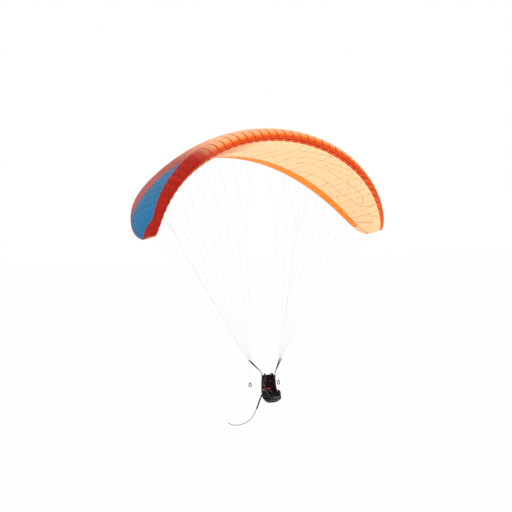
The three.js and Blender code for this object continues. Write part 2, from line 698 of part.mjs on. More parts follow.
function pulleyHousing() {
  const plates = [-1, 1].map((face) => {
    const plate = new THREE.CylinderGeometry(SHEAVE_R + CHEEK_LIP, SHEAVE_R + CHEEK_LIP, CHEEK_T, 16);
    plate.translate(0, face * (SHEAVE_W / 2 + GAP + CHEEK_T / 2), 0);
    return plate;
  });
  const pin = new THREE.CylinderGeometry(AXLE_R, AXLE_R, SHEAVE_W + 2 * CHEEK_T, 18);
  const [bridgeT, bridgeH] = BRIDGE;
  const bridge = new THREE.BoxGeometry(bridgeT, SHEAVE_W + 2 * CHEEK_T + 2 * GAP, bridgeH);
  bridge.translate(SHEAVE_R + CHEEK_LIP, 0, 0);
  return join([...plates, pin, bridge]);
}

function buildPulley(side, bend, outward, axle) {
  const centre = bend.clone().addScaledVector(outward, SHEAVE_R + MAIN_LINE_R + GAP);
  const turn = new THREE.Quaternion().setFromRotationMatrix(
    new THREE.Matrix4().makeBasis(outward, axle, new THREE.Vector3().crossVectors(outward, axle)));
  const bore = AXLE_R + AXLE_FIT;
  const sheave = cut(
    new THREE.CylinderGeometry(SHEAVE_R, SHEAVE_R, SHEAVE_W, 18),
    new THREE.CylinderGeometry(bore, bore, SHEAVE_W + 2, 18));
  const wheel = add(part, `brake_sheave_${side}`, sheave, BLACK_PLASTIC());
  const housing = add(part, `brake_pulley_${side}`, pulleyHousing(), STEEL());
  for (const mesh of [wheel, housing]) {
    mesh.position.copy(centre);
    mesh.quaternion.copy(turn);
  }
}

// ---- harness ----
// a point given as an offset from the hang point of one side, or of the middle
const fromHang = ([x, y, z], sign = 1) => new THREE.Vector3(sign * x, HANG_POINT.y + y, HANG_POINT.z + z);
const profilePoint = ([y, z]) => fromHang([0, y + SEAT_BACK, z]);
const profileCurve = new THREE.CatmullRomCurve3(INNER_PROFILE.map(profilePoint), false, 'centripetal');

// points at a distance behind the inner profile, from one of its steps to another
function behind(distance, first = 0, last = PROFILE_STEPS) {
  const list = [];
  for (let i = first; i <= last; i += 1) {
    const t = i / PROFILE_STEPS;
    const point = profileCurve.getPointAt(t);
    const along = profileCurve.getTangentAt(t);
    const reach = typeof distance === 'function' ? distance((i - first) / (last - first)) : distance;
    list.push(new THREE.Vector2(point.y - along.z * reach, point.z + along.y * reach));
  }
  return list;
}

// a solid across X between two side lines
function acrossX(lineA, lineB, halfWidth) {
  const shape = new THREE.Shape([...lineA, ...lineB.slice().reverse()]);
  const geometry = new THREE.ExtrudeGeometry(shape, { depth: 2 * halfWidth, bevelEnabled: false });
  geometry.translate(0, 0, -halfWidth);
  geometry.applyMatrix4(new THREE.Matrix4().makeBasis(
    new THREE.Vector3(0, 1, 0), new THREE.Vector3(0, 0, 1), new THREE.Vector3(1, 0, 0)));
  return geometry;
}

function buildShell() {
  const tub = acrossX(behind(0), behind(SHELL_T), SEAT_HALF + SHELL_T);
  const pieces = [tub];
  const rim = behind((s) => -SIDE_RIM.ends - SIDE_RIM.swell * Math.sin(Math.PI * s), SIDE_START);
  for (const sign of [-1, 1]) {
    const panel = acrossX(rim, behind(2, SIDE_START), SHELL_T / 2);
    panel.translate(sign * (SEAT_HALF + SHELL_T / 2), 0, 0);
    pieces.push(panel);
  }
  add(part, 'harness_shell', join(pieces), BLACK_CLOTH());
}

function buildProtector() {
  const swell = (s) => SHELL_T + PAD.base + PAD.swell * Math.exp(-(((s - PAD.at) / PAD.spread) ** 2));
  const curl = (points) => points.map(profilePoint).map((point) => new THREE.Vector2(point.y, point.z));
  const inside = [...behind(SHELL_T + GAP, ...PAD_STEPS), ...curl(CURL_INSIDE)];
  const outside = [...behind(swell, ...PAD_STEPS), ...curl(CURL_OUTSIDE)];
  const pad = acrossX(inside, outside, SEAT_HALF - PAD.inset);
  add(part, 'back_protector', pad, BLACK_CLOTH());
}

function buildSeatBoard() {
  const board = new THREE.BoxGeometry(2 * (SEAT_HALF - BOARD.inset), BOARD.depth, BOARD.thickness);
  const centre = fromHang([0, SEAT_BACK + BOARD.y, BOARD.z]);
  add(part, 'seat_board', board, PLYWOOD()).position.copy(centre);
}

// main webbing: seat side, past the hang point, over the shoulder and down the back
function buildShoulderStraps() {
  const radius = CARABINER_R + BEND_CLEARANCE;
  const x = HANG_POINT.x;
  const top = [x, 0, -radius - LOOP_BITE];
  for (const side of ['left', 'right']) {
    const sign = mirrored(side);
    const place = (offsets) => offsets.map((offset) => fromHang(offset, sign));
    const loop = strapLoop(fromHang([x, 0, 0], sign), radius, WEBBING_W, WEBBING_T);
    const neck = strap(place([top, [x - 1, -1, -40]]), WEBBING_W, WEBBING_T * 2);
    const down = strap(place([top, ...SIDE_BRANCH]), WEBBING_T, SIDE_WIDTH);
    const over = strap(place(SHOULDER_BRANCH), SHOULDER_WIDTH, SHOULDER_T);
    add(part, `shoulder_strap_${side}`, join([loop, neck, down, over]), BLACK_WEBBING());
  }
}

// the chest strap: a buckle half on each side, joined in the middle
function buildChestStrap() {
  const { y, z, width, thickness, outside, kink, buckle } = CHEST;
  const upright = new THREE.Vector3(0, 0, 1);
  const half = (sign) => {
    const offsets = [[SEAT_HALF + outside, y - 14], [SEAT_HALF, y + 26], [kink, y], [buckle, y]];
    return strap(offsets.map(([xx, yy]) => fromHang([xx, yy, z], sign)), width, thickness, upright);
  };
  const slot = new THREE.BoxGeometry(...SOCKET.slot);
  slot.translate(SOCKET.slotShift, 0, 0);
  const socket = cut(new THREE.BoxGeometry(...SOCKET.size), slot);
  socket.translate(...fromHang([SOCKET.x, y, z]).toArray());
  add(part, 'chest_strap_left', join([half(-1), socket]), BLACK_WEBBING());
  add(part, 'chest_strap_right', half(1), BLACK_WEBBING());
  const centre = fromHang([TONGUE.x, y, z]);
  add(part, 'chest_tongue', new THREE.BoxGeometry(...TONGUE.size), BLACK_PLASTIC()).position.copy(centre);
}

function buildLegStraps() {
  for (const side of ['left', 'right']) {
    const points = LEG_STRAP.map(([x, y, z]) => fromHang([x, y + SEAT_BACK, z], mirrored(side)));
    const curve = new THREE.CatmullRomCurve3(points, false, 'centripetal');
    add(part, `leg_strap_${side}`, strap(curve.getSpacedPoints(8), LEG_WIDTH, LEG_T), BLACK_WEBBING());
  }
}

function buildReserve() {
  const { radius, length, flatten, y, z, gap } = RESERVE;
  const container = new THREE.CapsuleGeometry(radius, length, 3, 12);
  container.scale(flatten, 1, 1);
  container.rotateX(Math.PI / 2);
  const centre = fromHang([SEAT_HALF + SHELL_T + radius * flatten + gap, SEAT_BACK + y, z]);
  add(part, 'reserve_container', container, BLACK_CLOTH()).position.copy(centre);
  const handle = linkRing(HANDLE.height, HANDLE.width, HANDLE.wire, 16, 6);
  handle.rotateZ(Math.PI / 2);
  handle.rotateX(Math.PI / 2);
  centre.x += HANDLE.out;
  add(part, 'reserve_handle', handle, RED_CLOTH()).position.copy(centre);
}

// ---- the streaming tail ----
function circle(radius, sides, holeRadius = 0) {
  const ring = (r) => Array.from({ length: sides }, (_, i) => new THREE.Vector2(
    r * Math.cos((2 * Math.PI * i) / sides), r * Math.sin((2 * Math.PI * i) / sides)));
  const shape = new THREE.Shape(ring(radius));
  if (holeRadius) shape.holes.push(new THREE.Path(ring(holeRadius).reverse()));
  return shape;
}

function buildTail() {
  const points = TAIL_ROUTE.map((offset) => fromHang(offset));
  const cordPath = new THREE.CatmullRomCurve3(points, false, 'centripetal');
  const cord = new THREE.ExtrudeGeometry(circle(CORD_R, 8), { steps: CORD_STEPS, extrudePath: cordPath });
  add(part, 'tail_cord', cord, BLACK_WEBBING());
  const sleevePath = new THREE.CatmullRomCurve3(points.slice(0, SLEEVE_POINTS), false, 'centripetal');
  const section = circle(SLEEVE_R, 10, CORD_R + SLEEVE_ROOM);
  const sleeve = new THREE.ExtrudeGeometry(section, { steps: 10, extrudePath: sleevePath });
  add(part, 'tail_sleeve', sleeve, BLACK_CLOTH());
  const end = points[points.length - 1];
  const along = cordPath.getTangentAt(1);
  const hook = linkRing(END_RING.height, END_RING.width, END_RING.wire, 12, 5);
  hook.applyQuaternion(new THREE.Quaternion().setFromUnitVectors(new THREE.Vector3(0, 0, 1), along));
  const reach = END_RING.height / 2 + GAP;
  add(part, 'tail_hook', hook, STEEL()).position.copy(end.clone().addScaledVector(along, reach));
}

buildCanopy();
buildLines();
buildMaillons();
buildRisers();
buildCarabiners();
buildBrakes();
buildShell();
buildProtector();
buildSeatBoard();
buildShoulderStraps();
buildChestStrap();
buildLegStraps();
buildReserve();
buildTail();

export default part;
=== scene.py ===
"""Looks of the paraglider: canopy cloth, lines, risers, brakes, harness, camera, light and floor.

Metres, +Z up, flight direction -Y. The canopy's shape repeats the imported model's own dimensions.
"""
import json
import math

import bpy
import numpy as np
from mathutils import Matrix, Vector


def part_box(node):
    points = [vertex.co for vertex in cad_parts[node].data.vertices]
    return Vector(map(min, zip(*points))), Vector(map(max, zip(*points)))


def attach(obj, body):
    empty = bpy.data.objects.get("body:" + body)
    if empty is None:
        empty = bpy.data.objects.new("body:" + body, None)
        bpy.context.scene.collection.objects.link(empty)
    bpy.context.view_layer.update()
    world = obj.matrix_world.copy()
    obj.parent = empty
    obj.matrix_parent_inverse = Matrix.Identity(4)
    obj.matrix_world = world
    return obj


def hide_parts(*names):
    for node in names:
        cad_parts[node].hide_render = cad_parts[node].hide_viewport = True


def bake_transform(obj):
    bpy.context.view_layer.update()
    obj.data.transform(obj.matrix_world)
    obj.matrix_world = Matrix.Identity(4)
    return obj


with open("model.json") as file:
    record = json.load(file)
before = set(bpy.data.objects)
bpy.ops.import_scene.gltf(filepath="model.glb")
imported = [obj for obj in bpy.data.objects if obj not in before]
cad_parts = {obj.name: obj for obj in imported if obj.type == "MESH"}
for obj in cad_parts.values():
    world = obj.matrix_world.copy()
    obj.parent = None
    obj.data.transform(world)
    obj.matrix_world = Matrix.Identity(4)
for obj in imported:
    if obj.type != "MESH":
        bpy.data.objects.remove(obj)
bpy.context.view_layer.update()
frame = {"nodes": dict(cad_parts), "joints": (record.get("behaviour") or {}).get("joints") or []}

SIDES = {"left": -1, "right": 1}


# ---------------------------------------------------------------- camera
CAMERA_AZIMUTH = math.radians(35.8)
CAMERA_TILT = math.radians(-0.69)
CAMERA_ROLL = math.radians(-1.49)
CAMERA_DISTANCE = 54.9
CAMERA_LENS = 123.64
AIM = Vector((0, 0, -3.5))
AIM_ASIDE, AIM_BELOW = 0.226, 0.028      # the object stands a little right of the middle


def make_camera():
    forward = Vector((math.sin(CAMERA_AZIMUTH) * math.cos(CAMERA_TILT),
                      math.cos(CAMERA_AZIMUTH) * math.cos(CAMERA_TILT), math.sin(CAMERA_TILT)))
    level = Vector((math.cos(CAMERA_AZIMUTH), -math.sin(CAMERA_AZIMUTH), 0))
    upright = level.cross(forward)
    right = level * math.cos(CAMERA_ROLL) + upright * math.sin(CAMERA_ROLL)
    up = upright * math.cos(CAMERA_ROLL) - level * math.sin(CAMERA_ROLL)
    data = bpy.data.cameras.new("camera")
    data.lens = CAMERA_LENS
    data.sensor_width = 36
    data.clip_end = 2000
    camera = bpy.data.objects.new("camera", data)
    place = AIM - forward * CAMERA_DISTANCE - right * AIM_ASIDE - up * AIM_BELOW
    turn = Matrix((right, up, -forward)).transposed()
    camera.matrix_world = Matrix.Translation(place) @ turn.to_4x4()
    bpy.context.scene.collection.objects.link(camera)
    bpy.context.scene.camera = camera


make_camera()


# ---------------------------------------------------------------- materials
def srgb(r, g, b):
    return tuple(((c / 255 + 0.055) / 1.055) ** 2.4 if c > 10 else c / 255 / 12.92 for c in (r, g, b)) + (1,)


class Graph:
    """A material's nodes, added one call at a time. Every call gives the new node's output."""

    def __init__(self, name):
        self.material = bpy.data.materials.new(name)
        self.material.use_nodes = True
        self.tree = self.material.node_tree
        self.shader = self.tree.nodes["Principled BSDF"]
        self.out = self.tree.nodes["Material Output"]

    def node(self, kind, **settings):
        made = self.tree.nodes.new(kind)
        for key, value in settings.items():
            setattr(made, key, value)
        return made

    def put(self, socket, value):
        if isinstance(value, bpy.types.NodeSocket):
            self.tree.links.new(value, socket)
        else:
            socket.default_value = value

    def math(self, operation, *values):
        made = self.node("ShaderNodeMath", operation=operation)
        for socket, value in zip(made.inputs, values):
            self.put(socket, value)
        return made.outputs[0]

    def times(self, a, b):
        return self.math("MULTIPLY", a, b)

    def plus(self, a, b):
        return self.math("ADD", a, b)

    def short_of_1(self, value):
        return self.math("SUBTRACT", 1.0, value)

    def step(self, value, low, high):
        """0 below low, 1 above high, smooth between them."""
        made = self.node("ShaderNodeMapRange", interpolation_type="SMOOTHSTEP")
        for socket, number in zip(made.inputs, (value, low, high)):
            self.put(socket, number)
        return made.outputs[0]

    def mix(self, share, a, b, blend="MIX"):
        made = self.node("ShaderNodeMix", data_type="RGBA", blend_type=blend)
        self.put(made.inputs[0], share)
        self.put(made.inputs[6], a)
        self.put(made.inputs[7], b)
        return made.outputs[2]

    def ramp(self, value, *stops):
        made = self.node("ShaderNodeValToRGB")
        elements = made.color_ramp.elements
        while len(elements) < len(stops):
            elements.new(0.5)
        for element, (place, colour) in zip(elements, stops):
            element.position = place
            element.color = colour
        self.put(made.inputs[0], value)
        return made.outputs[0]

    def coordinates(self):
        return self.node("ShaderNodeTexCoord").outputs["Object"]

    def texture(self, kind, vector, output, settings=None, **values):
        made = self.node(kind, **(settings or {}))
        self.put(made.inputs["Vector"], vector)
        for key, value in values.items():
            made.inputs[key].default_value = value
        return made.outputs[output]

    def scaled(self, vector, scale):
        return self.texture("ShaderNodeMapping", vector, "Vector", Scale=scale)

    def noise(self, vector, scale, detail=3.0, roughness=0.5):
        return self.texture("ShaderNodeTexNoise", vector, "Fac", Scale=scale, Detail=detail,
                            Roughness=roughness)

    def waves(self, vector, scale, direction, distortion=0.0):
        bands = {"wave_type": "BANDS", "bands_direction": direction}
        return self.texture("ShaderNodeTexWave", vector, "Fac", bands, Scale=scale, Distortion=distortion)

    def bump(self, height, distance, strength=1.0, after=None):
        made = self.node("ShaderNodeBump")
        self.put(made.inputs["Height"], height)
        made.inputs["Distance"].default_value = distance
        made.inputs["Strength"].default_value = strength
        if after is not None:
            self.put(made.inputs["Normal"], after)
        return made.outputs[0]

    def finish(self, colour, roughness, normal=None, metallic=0.0, sheen=0.0, translucent=0.0, specular=0.5):
        looks = {"Base Color": colour, "Roughness": roughness, "Metallic": metallic, "Sheen Weight": sheen,
                 "Specular IOR Level": specular, "Normal": normal}
        for key, value in looks.items():
            if value is not None:
                self.put(self.shader.inputs[key], value)
        if translucent:
            through = self.node("ShaderNodeBsdfTranslucent")
            self.put(through.inputs["Color"], colour)
            both = self.node("ShaderNodeMixShader")
            both.inputs[0].default_value = translucent
            self.tree.links.new(self.shader.outputs[0], both.inputs[1])
            self.tree.links.new(through.outputs[0], both.inputs[2])
            self.tree.links.new(both.outputs[0], self.out.inputs["Surface"])
        return self.material


RIPSTOP_PER_CELL = 24


def sail_coordinates(g):
    """Rib number and chord fraction of a point of the sail, from the mesh's own map."""
    uv = g.node("ShaderNodeUVMap", uv_map="sail")
    parts = g.node("ShaderNodeSeparateXYZ")
    g.put(parts.inputs[0], uv.outputs[0])
    return uv.outputs[0], parts.outputs[0], parts.outputs[1]


def ripstop(g, uv):
    """A fine grid of thicker threads, and soft creases."""
    threads = g.math("MAXIMUM", g.waves(g.scaled(uv, (1, 0, 0)), RIPSTOP_PER_CELL, "X"),
                     g.waves(g.scaled(uv, (0, 12, 0)), RIPSTOP_PER_CELL, "Y"))
    creases = g.noise(g.scaled(uv, (1, 9, 0)), 2.2, 6.0, 0.62)
    grid = g.bump(threads, 0.0006, 0.5)
    return g.bump(creases, 0.02, 0.55, grid), creases


def near_rib(g, rib, width):
    """1 on a rib, 0 further from it than width, in cells."""
    away = g.math("PINGPONG", rib, 0.5)
    return g.short_of_1(g.step(away, 0.0, width))


def panel_shade(g, rib, chord):
    """A small difference of shade from panel to panel."""
    cell = g.math("FLOOR", rib)
    row = g.math("FLOOR", g.times(chord, 4.0))
    pair = g.node("ShaderNodeCombineXYZ")
    g.put(pair.inputs[0], cell)
    g.put(pair.inputs[1], row)
    return g.texture("ShaderNodeTexWhiteNoise", pair.outputs[0], "Value")


# where the outer sail's colours change, in ribs counted towards the left tip and in chord fractions
DUSTY_RIBS = (6.5, 12.0)
BLUE_RIB, BLUE_SLANT, BLUE_DEEP_RIBS = 12.1, 7.0, (13.0, 20.0)
RED_RIBS, RED_CHORD = (8.0, 11.5), 0.125
RED_TIP_RIB, RED_TIP_RUN, RED_TIP_GROWTH = 19.4, 2.6, 0.72
HEM_CHORD, HEM_RIB = 0.955, 14.0
# and the inner sail's
LIP_CHORD, BAND_CHORD, BAND_END_RIB = 0.034, 0.818, 20.4


def outer_cloth():
    g = Graph("outer_cloth")
    uv, rib, chord = sail_coordinates(g)
    normal, creases = ripstop(g, uv)
    outward = g.times(rib, -1.0)               # ribs counted towards the left tip
    rise = g.math("POWER", g.math("MAXIMUM", chord, 0.0), 0.5)      # grows evenly round the blunt nose
    # the nose's orange with painted light and shade: paler towards the lit top, deeper red-orange down
    # towards the inlet
    nose = g.ramp(rise, (0.0, srgb(230, 82, 8)), (0.035, srgb(240, 112, 28)), (0.08, srgb(250, 156, 80)),
                  (0.15, srgb(253, 190, 128)), (0.34, srgb(254, 204, 154)), (0.75, srgb(248, 170, 108)))
    # painted shade: darker red over the ribs on the nose, where the valleys between the billowed cells lie in
    # shadow
    rib_valley_shade = g.times(near_rib(g, rib, 0.20), g.short_of_1(g.step(rise, 0.16, 0.46)))
    colour = g.mix(g.times(rib_valley_shade, 0.85), nose, srgb(206, 52, 14))
    # painted shade: darker orange patches where the cloth folds
    fold_shade = g.noise(g.scaled(uv, (5.0, 3.0, 0)), 2.0, 4.0, 0.6)
    colour = g.mix(g.times(g.step(fold_shade, 0.52, 0.68), 0.45), colour, srgb(222, 84, 30))
    # towards the left tip the orange turns to a dusty red
    colour = g.mix(g.step(outward, *DUSTY_RIBS), colour, srgb(186, 92, 84))
    # blue panel, with a slanting inner edge
    slant = g.math("POWER", g.math("MAXIMUM", g.math("SUBTRACT", chord, 0.15), 0.0), 0.85)
    edge = g.plus(BLUE_RIB, g.times(slant, BLUE_SLANT))
    beyond = g.math("SUBTRACT", outward, edge)
    blue = g.mix(g.step(outward, *BLUE_DEEP_RIBS), srgb(66, 124, 168), srgb(30, 124, 178))
    blue = g.mix(g.times(g.step(creases, 0.45, 0.75), 0.35), blue, srgb(88, 132, 160))
    colour = g.mix(g.step(beyond, 0.0, 0.12), colour, blue)
    # red nose band of the left half, which widens round the tip
    past = g.math("DIVIDE", g.math("SUBTRACT", outward, RED_TIP_RIB), RED_TIP_RUN)
    widen = g.math("POWER", g.math("MAXIMUM", past, 0.0), 2.2)
    limit = g.plus(RED_CHORD, g.times(widen, RED_TIP_GROWTH))
    inside = g.short_of_1(g.step(g.math("SUBTRACT", chord, limit), -0.004, 0.004))
    red = g.mix(g.step(creases, 0.35, 0.7), srgb(186, 34, 18), srgb(160, 30, 16))
    # painted shade: the red is darker along the ribs, in the valleys between the cells
    red = g.mix(g.times(near_rib(g, rib, 0.13), 0.6), red, srgb(128, 22, 12))
    colour = g.mix(g.times(inside, g.step(outward, *RED_RIBS)), colour, red)
    # dark hem round the left tip's rear edge
    hem = g.times(g.step(chord, HEM_CHORD, HEM_CHORD + 0.01), g.step(outward, HEM_RIB, HEM_RIB + 0.5))
    colour = g.mix(hem, colour, srgb(140, 48, 44))
    shade = g.plus(0.94, g.times(panel_shade(g, rib, chord), 0.06))
    tint = g.node("ShaderNodeCombineColor")
    for socket in tint.inputs[:3]:
        g.put(socket, shade)
    colour = g.mix(1.0, colour, tint.outputs[0], "MULTIPLY")
    roughness = g.plus(0.42, g.times(creases, 0.2))
    return g.finish(colour, roughness, normal, sheen=0.02, translucent=0.30, specular=0.10)


def inner_cloth():
    g = Graph("inner_cloth")
    uv, rib, chord = sail_coordinates(g)
    normal, creases = ripstop(g, uv)
    colour = g.mix(g.step(creases, 0.3, 0.75), srgb(255, 226, 176), srgb(250, 212, 150))
    colour = g.mix(g.times(panel_shade(g, rib, chord), 0.35), colour, srgb(243, 212, 168))
    # painted shade: the cream is darker along the ribs, in the valleys between the cells
    colour = g.mix(g.times(near_rib(g, rib, 0.07), 0.35), colour, srgb(244, 196, 136))
    # the orange lip below the inlets, deepened to red-orange as painted shade of the nose's underside
    colour = g.mix(g.short_of_1(g.step(chord, LIP_CHORD, LIP_CHORD + 0.014)), colour, srgb(222, 66, 8))
    aft = g.step(chord, BAND_CHORD, BAND_CHORD + 0.004)
    band = g.times(aft, g.short_of_1(g.step(g.math("ABSOLUTE", rib), BAND_END_RIB, BAND_END_RIB + 0.1)))
    orange = g.mix(g.step(creases, 0.3, 0.75), srgb(255, 148, 16), srgb(252, 134, 8))
    colour = g.mix(band, colour, orange)
    # painted shade: the inner sail darkens to a dull orange towards the left half
    left_underside_shade = g.step(g.times(rib, -1.0), 0.5, 6.0)
    colour = g.mix(g.times(left_underside_shade, 0.6), colour, srgb(226, 120, 72))
    roughness = g.plus(0.45, g.times(creases, 0.2))
    return g.finish(colour, roughness, normal, sheen=0.02, translucent=0.15, specular=0.08)


def seam_tape(name, colour, dark):
    """Sewn tape: a herringbone weave."""
    g = Graph(name)
    where = g.coordinates()
    weave = g.waves(where, 260, "DIAGONAL", 0.4)
    tone = g.mix(g.noise(where, 30), colour, dark)
    return g.finish(tone, 0.7, g.bump(weave, 0.0004, 0.6), sheen=0.2)


def rib_cloth():
    g = Graph("rib_cloth")
    where = g.coordinates()
    weave = g.math("MAXIMUM", g.waves(where, 90, "Y"), g.waves(where, 90, "Z"))
    tone = g.mix(g.noise(where, 6), srgb(255, 138, 56), srgb(250, 112, 36))
    return g.finish(tone, 0.6, g.bump(weave, 0.0005, 0.5), sheen=0.1, translucent=0.3)


def line_sheath(name, colour, dark):
    """Braided sheath of a suspension line."""
    g = Graph(name)
    where = g.coordinates()
    strands = g.waves(where, 700, "DIAGONAL")
    braid = g.math("MAXIMUM", strands, g.waves(g.scaled(where, (-1, 1, 1)), 700, "DIAGONAL"))
    tone = g.mix(g.noise(where, 60), colour, dark)
    return g.finish(tone, 0.65, g.bump(braid, 0.0003, 0.6))


MATT = {"sheen": 0.02, "specular": 0.10}      # black cloth that gives back little of a white sky


def webbing(name, colour, dark):
    g = Graph(name)
    where = g.coordinates()
    weave = g.waves(where, 420, "DIAGONAL", 0.6)
    cross = g.waves(g.scaled(where, (-1, 1, 1)), 420, "DIAGONAL", 0.6)
    both = g.times(weave, cross)
    tone = g.mix(both, dark, colour)
    tone = g.mix(g.times(g.noise(where, 14), 0.4), tone, dark)
    return g.finish(tone, g.plus(0.62, g.times(both, 0.2)), g.bump(both, 0.0007, 0.8), **MATT)


def pack_cloth(name, colour, dark):
    """Coated nylon of a harness: a plain weave with soft creases."""
    g = Graph(name)
    where = g.coordinates()
    weave = g.times(g.waves(where, 330, "X"), g.times(g.waves(where, 330, "Y"), g.waves(where, 330, "Z")))
    creases = g.noise(where, 16, 6, 0.6)
    tone = g.mix(g.step(creases, 0.3, 0.75), colour, dark)
    normal = g.bump(creases, 0.006, 0.5, g.bump(weave, 0.0006, 0.6))
    return g.finish(tone, g.plus(0.55, g.times(creases, 0.25)), normal, **MATT)


DOTS_PER_METRE = 22
DOTS_TOP = -7.80           # the dotted mesh covers what is below this height


def protector_cloth(name):
    """Black cloth, with an open mesh of pale dots over its lower part."""
    g = Graph(name)
    where = g.coordinates()
    parts = g.node("ShaderNodeSeparateXYZ")
    g.put(parts.inputs[0], where)
    cells = g.texture("ShaderNodeTexVoronoi", where, "Distance", Scale=DOTS_PER_METRE, Randomness=0.12)
    dots = g.short_of_1(g.step(cells, 0.22, 0.28))
    below = g.short_of_1(g.step(parts.outputs[2], DOTS_TOP - 0.03, DOTS_TOP))
    creases = g.noise(where, 14, 5, 0.6)
    weave = g.times(g.waves(where, 300, "X"), g.waves(where, 300, "Z"))
    tone = g.mix(g.step(creases, 0.3, 0.75), srgb(16, 13, 15), srgb(8, 7, 8))
    tone = g.mix(g.times(dots, below), tone, srgb(150, 152, 160))
    height = g.plus(g.times(weave, 0.3), g.times(g.times(dots, below), -1.0))
    return g.finish(tone, g.plus(0.55, g.times(creases, 0.25)), g.bump(height, 0.0012, 0.7), **MATT)


def metal(name, colour, roughness):
    g = Graph(name)
    where = g.coordinates()
    brushed = g.noise(g.scaled(where, (1, 1, 0.08)), 260, 4)
    worn = g.noise(where, 40, 4)
    tone = g.mix(g.step(worn, 0.45, 0.8), colour, tuple(c * 0.72 for c in colour[:3]) + (1,))
    rough = g.plus(roughness, g.times(brushed, 0.16))
    return g.finish(tone, rough, g.bump(brushed, 0.0002, 0.4), metallic=1.0)


def plastic(name, colour):
    g = Graph(name)
    where = g.coordinates()
    grain = g.noise(where, 700, 2)
    tone = g.mix(g.noise(where, 25), colour, tuple(min(1, c * 1.5 + 0.004) for c in colour[:3]) + (1,))
    return g.finish(tone, g.plus(0.38, g.times(grain, 0.2)), g.bump(grain, 0.0003, 0.5), specular=0.3)


def wood(name):
    g = Graph(name)
    where = g.scaled(g.coordinates(), (7, 1, 30))
    rings = g.waves(where, 6, "X", 5.0)
    fibre = g.noise(g.scaled(where, (12, 1, 1)), 30, 4)
    tone = g.ramp(g.plus(g.times(rings, 0.6), g.times(fibre, 0.4)),
                  (0.1, srgb(150, 108, 62)), (0.6, srgb(196, 152, 98)), (1.0, srgb(214, 176, 124)))
    return g.finish(tone, g.plus(0.4, g.times(fibre, 0.2)), g.bump(fibre, 0.0004, 0.5))


OUTER = outer_cloth()
INNER = inner_cloth()
SEAM_TAN = seam_tape("seam_tan", srgb(212, 138, 88), srgb(190, 112, 66))
SEAM_ORANGE = seam_tape("seam_orange", srgb(232, 96, 18), srgb(214, 76, 12))
SEAM_CREAM = seam_tape("seam_cream", srgb(244, 200, 142), srgb(236, 186, 124))
# the tape over the nose's ribs: a real seam, whose dark red is painted shade of the valleys between the cells
SEAM_RED_AND_SHADE = seam_tape("seam_red_and_valley_shade", srgb(168, 32, 14), srgb(140, 22, 12))
RIB_CLOTH = rib_cloth()
LINE_GREY = line_sheath("line_grey", srgb(168, 168, 174), srgb(140, 140, 146))
LINE_BEIGE = line_sheath("line_beige", srgb(196, 172, 150), srgb(170, 140, 120))
LINE_MAUVE = line_sheath("line_mauve", srgb(150, 112, 110), srgb(120, 88, 86))
BLACK_WEB = webbing("black_webbing", srgb(18, 18, 20), srgb(7, 7, 8))
GREY_WEB = webbing("grey_webbing", srgb(118, 121, 132), srgb(70, 72, 80))
FADED_WEB = webbing("faded_webbing", srgb(112, 76, 74), srgb(70, 46, 46))
BLUE_WEB = webbing("blue_webbing", srgb(34, 112, 160), srgb(22, 80, 120))
RED_WEB = webbing("red_webbing", srgb(196, 40, 22), srgb(140, 24, 14))
PACK_BLACK = pack_cloth("pack_black", srgb(15, 13, 15), srgb(8, 7, 8))
PACK_DARK_RED = pack_cloth("pack_dark_red", srgb(40, 14, 15), srgb(26, 8, 9))
ALLOY = metal("anodised_alloy", srgb(74, 76, 82), 0.30)
STEEL = metal("brushed_steel", srgb(168, 170, 174), 0.20)
BLACK_PLASTIC = plastic("black_plastic", srgb(26, 26, 28))
BOARD = wood("plywood")
PROTECTOR = protector_cloth("protector_cloth")


# ---------------------------------------------------------------- mesh helpers
X_AXIS, Y_AXIS, Z_AXIS = np.eye(3)


def new_piece(name, points, faces, materials, face_materials=None, smooth=True):
    mesh = bpy.data.meshes.new(name)
    mesh.from_pydata([tuple(map(float, p)) for p in points], [], [tuple(map(int, f)) for f in faces])
    for material in materials:
        mesh.materials.append(material)
    if face_materials is not None:
        mesh.polygons.foreach_set("material_index", np.asarray(face_materials, np.int32))
    mesh.polygons.foreach_set("use_smooth", np.full(len(mesh.polygons), smooth))
    mesh.update()
    made = bpy.data.objects.new(name, mesh)
    bpy.context.scene.collection.objects.link(made)
    return made


class Build:
    """Points and faces of one piece, gathered from several shapes."""

    def __init__(self):
        self.points, self.faces, self.slots = [], [], []
        self.count = 0

    def add(self, points, faces, slot=0):
        points = np.asarray(points, float).reshape(-1, 3)
        self.points.append(points)
        self.faces += [tuple(int(i) + self.count for i in face) for face in faces]
        self.slots += [slot] * len(faces)
        self.count += len(points)
        return self

    def piece(self, name, materials):
        return new_piece(name, np.concatenate(self.points), self.faces, materials, self.slots)


def grid_faces(rows, columns, closed=False):
    faces = []
    for i in range(rows - 1):
        for j in range(columns if closed else columns - 1):
            k = (j + 1) % columns
            faces.append((i * columns + j, i * columns + k, (i + 1) * columns + k, (i + 1) * columns + j))
    return faces


def swept_faces(count, around, closed=False):
    """Faces of rings set one after another, joined end to start or capped at both ends."""
    faces = grid_faces(count, around, closed=True)
    last = (count - 1) * around
    if closed:
        return faces + [(last + j, last + (j + 1) % around, (j + 1) % around, j) for j in range(around)]
    return faces + [tuple(range(around))[::-1], tuple(last + j for j in range(around))]


def unit(vectors):
    return vectors / np.linalg.norm(vectors, axis=-1, keepdims=True)


def square_to(along, across):
    """The unit vector along, the one square to it on the side of across, and the one square to both."""
    along = unit(along)
    across = unit(across - along * (across @ along))
    return along, across, np.cross(along, across)


def circle(centre, a, b, count):
    """Points of an ellipse with the half axes a and b."""
    turn = np.linspace(0, 2 * math.pi, count, endpoint=False)[:, None]
    return centre + np.cos(turn) * a + np.sin(turn) * b


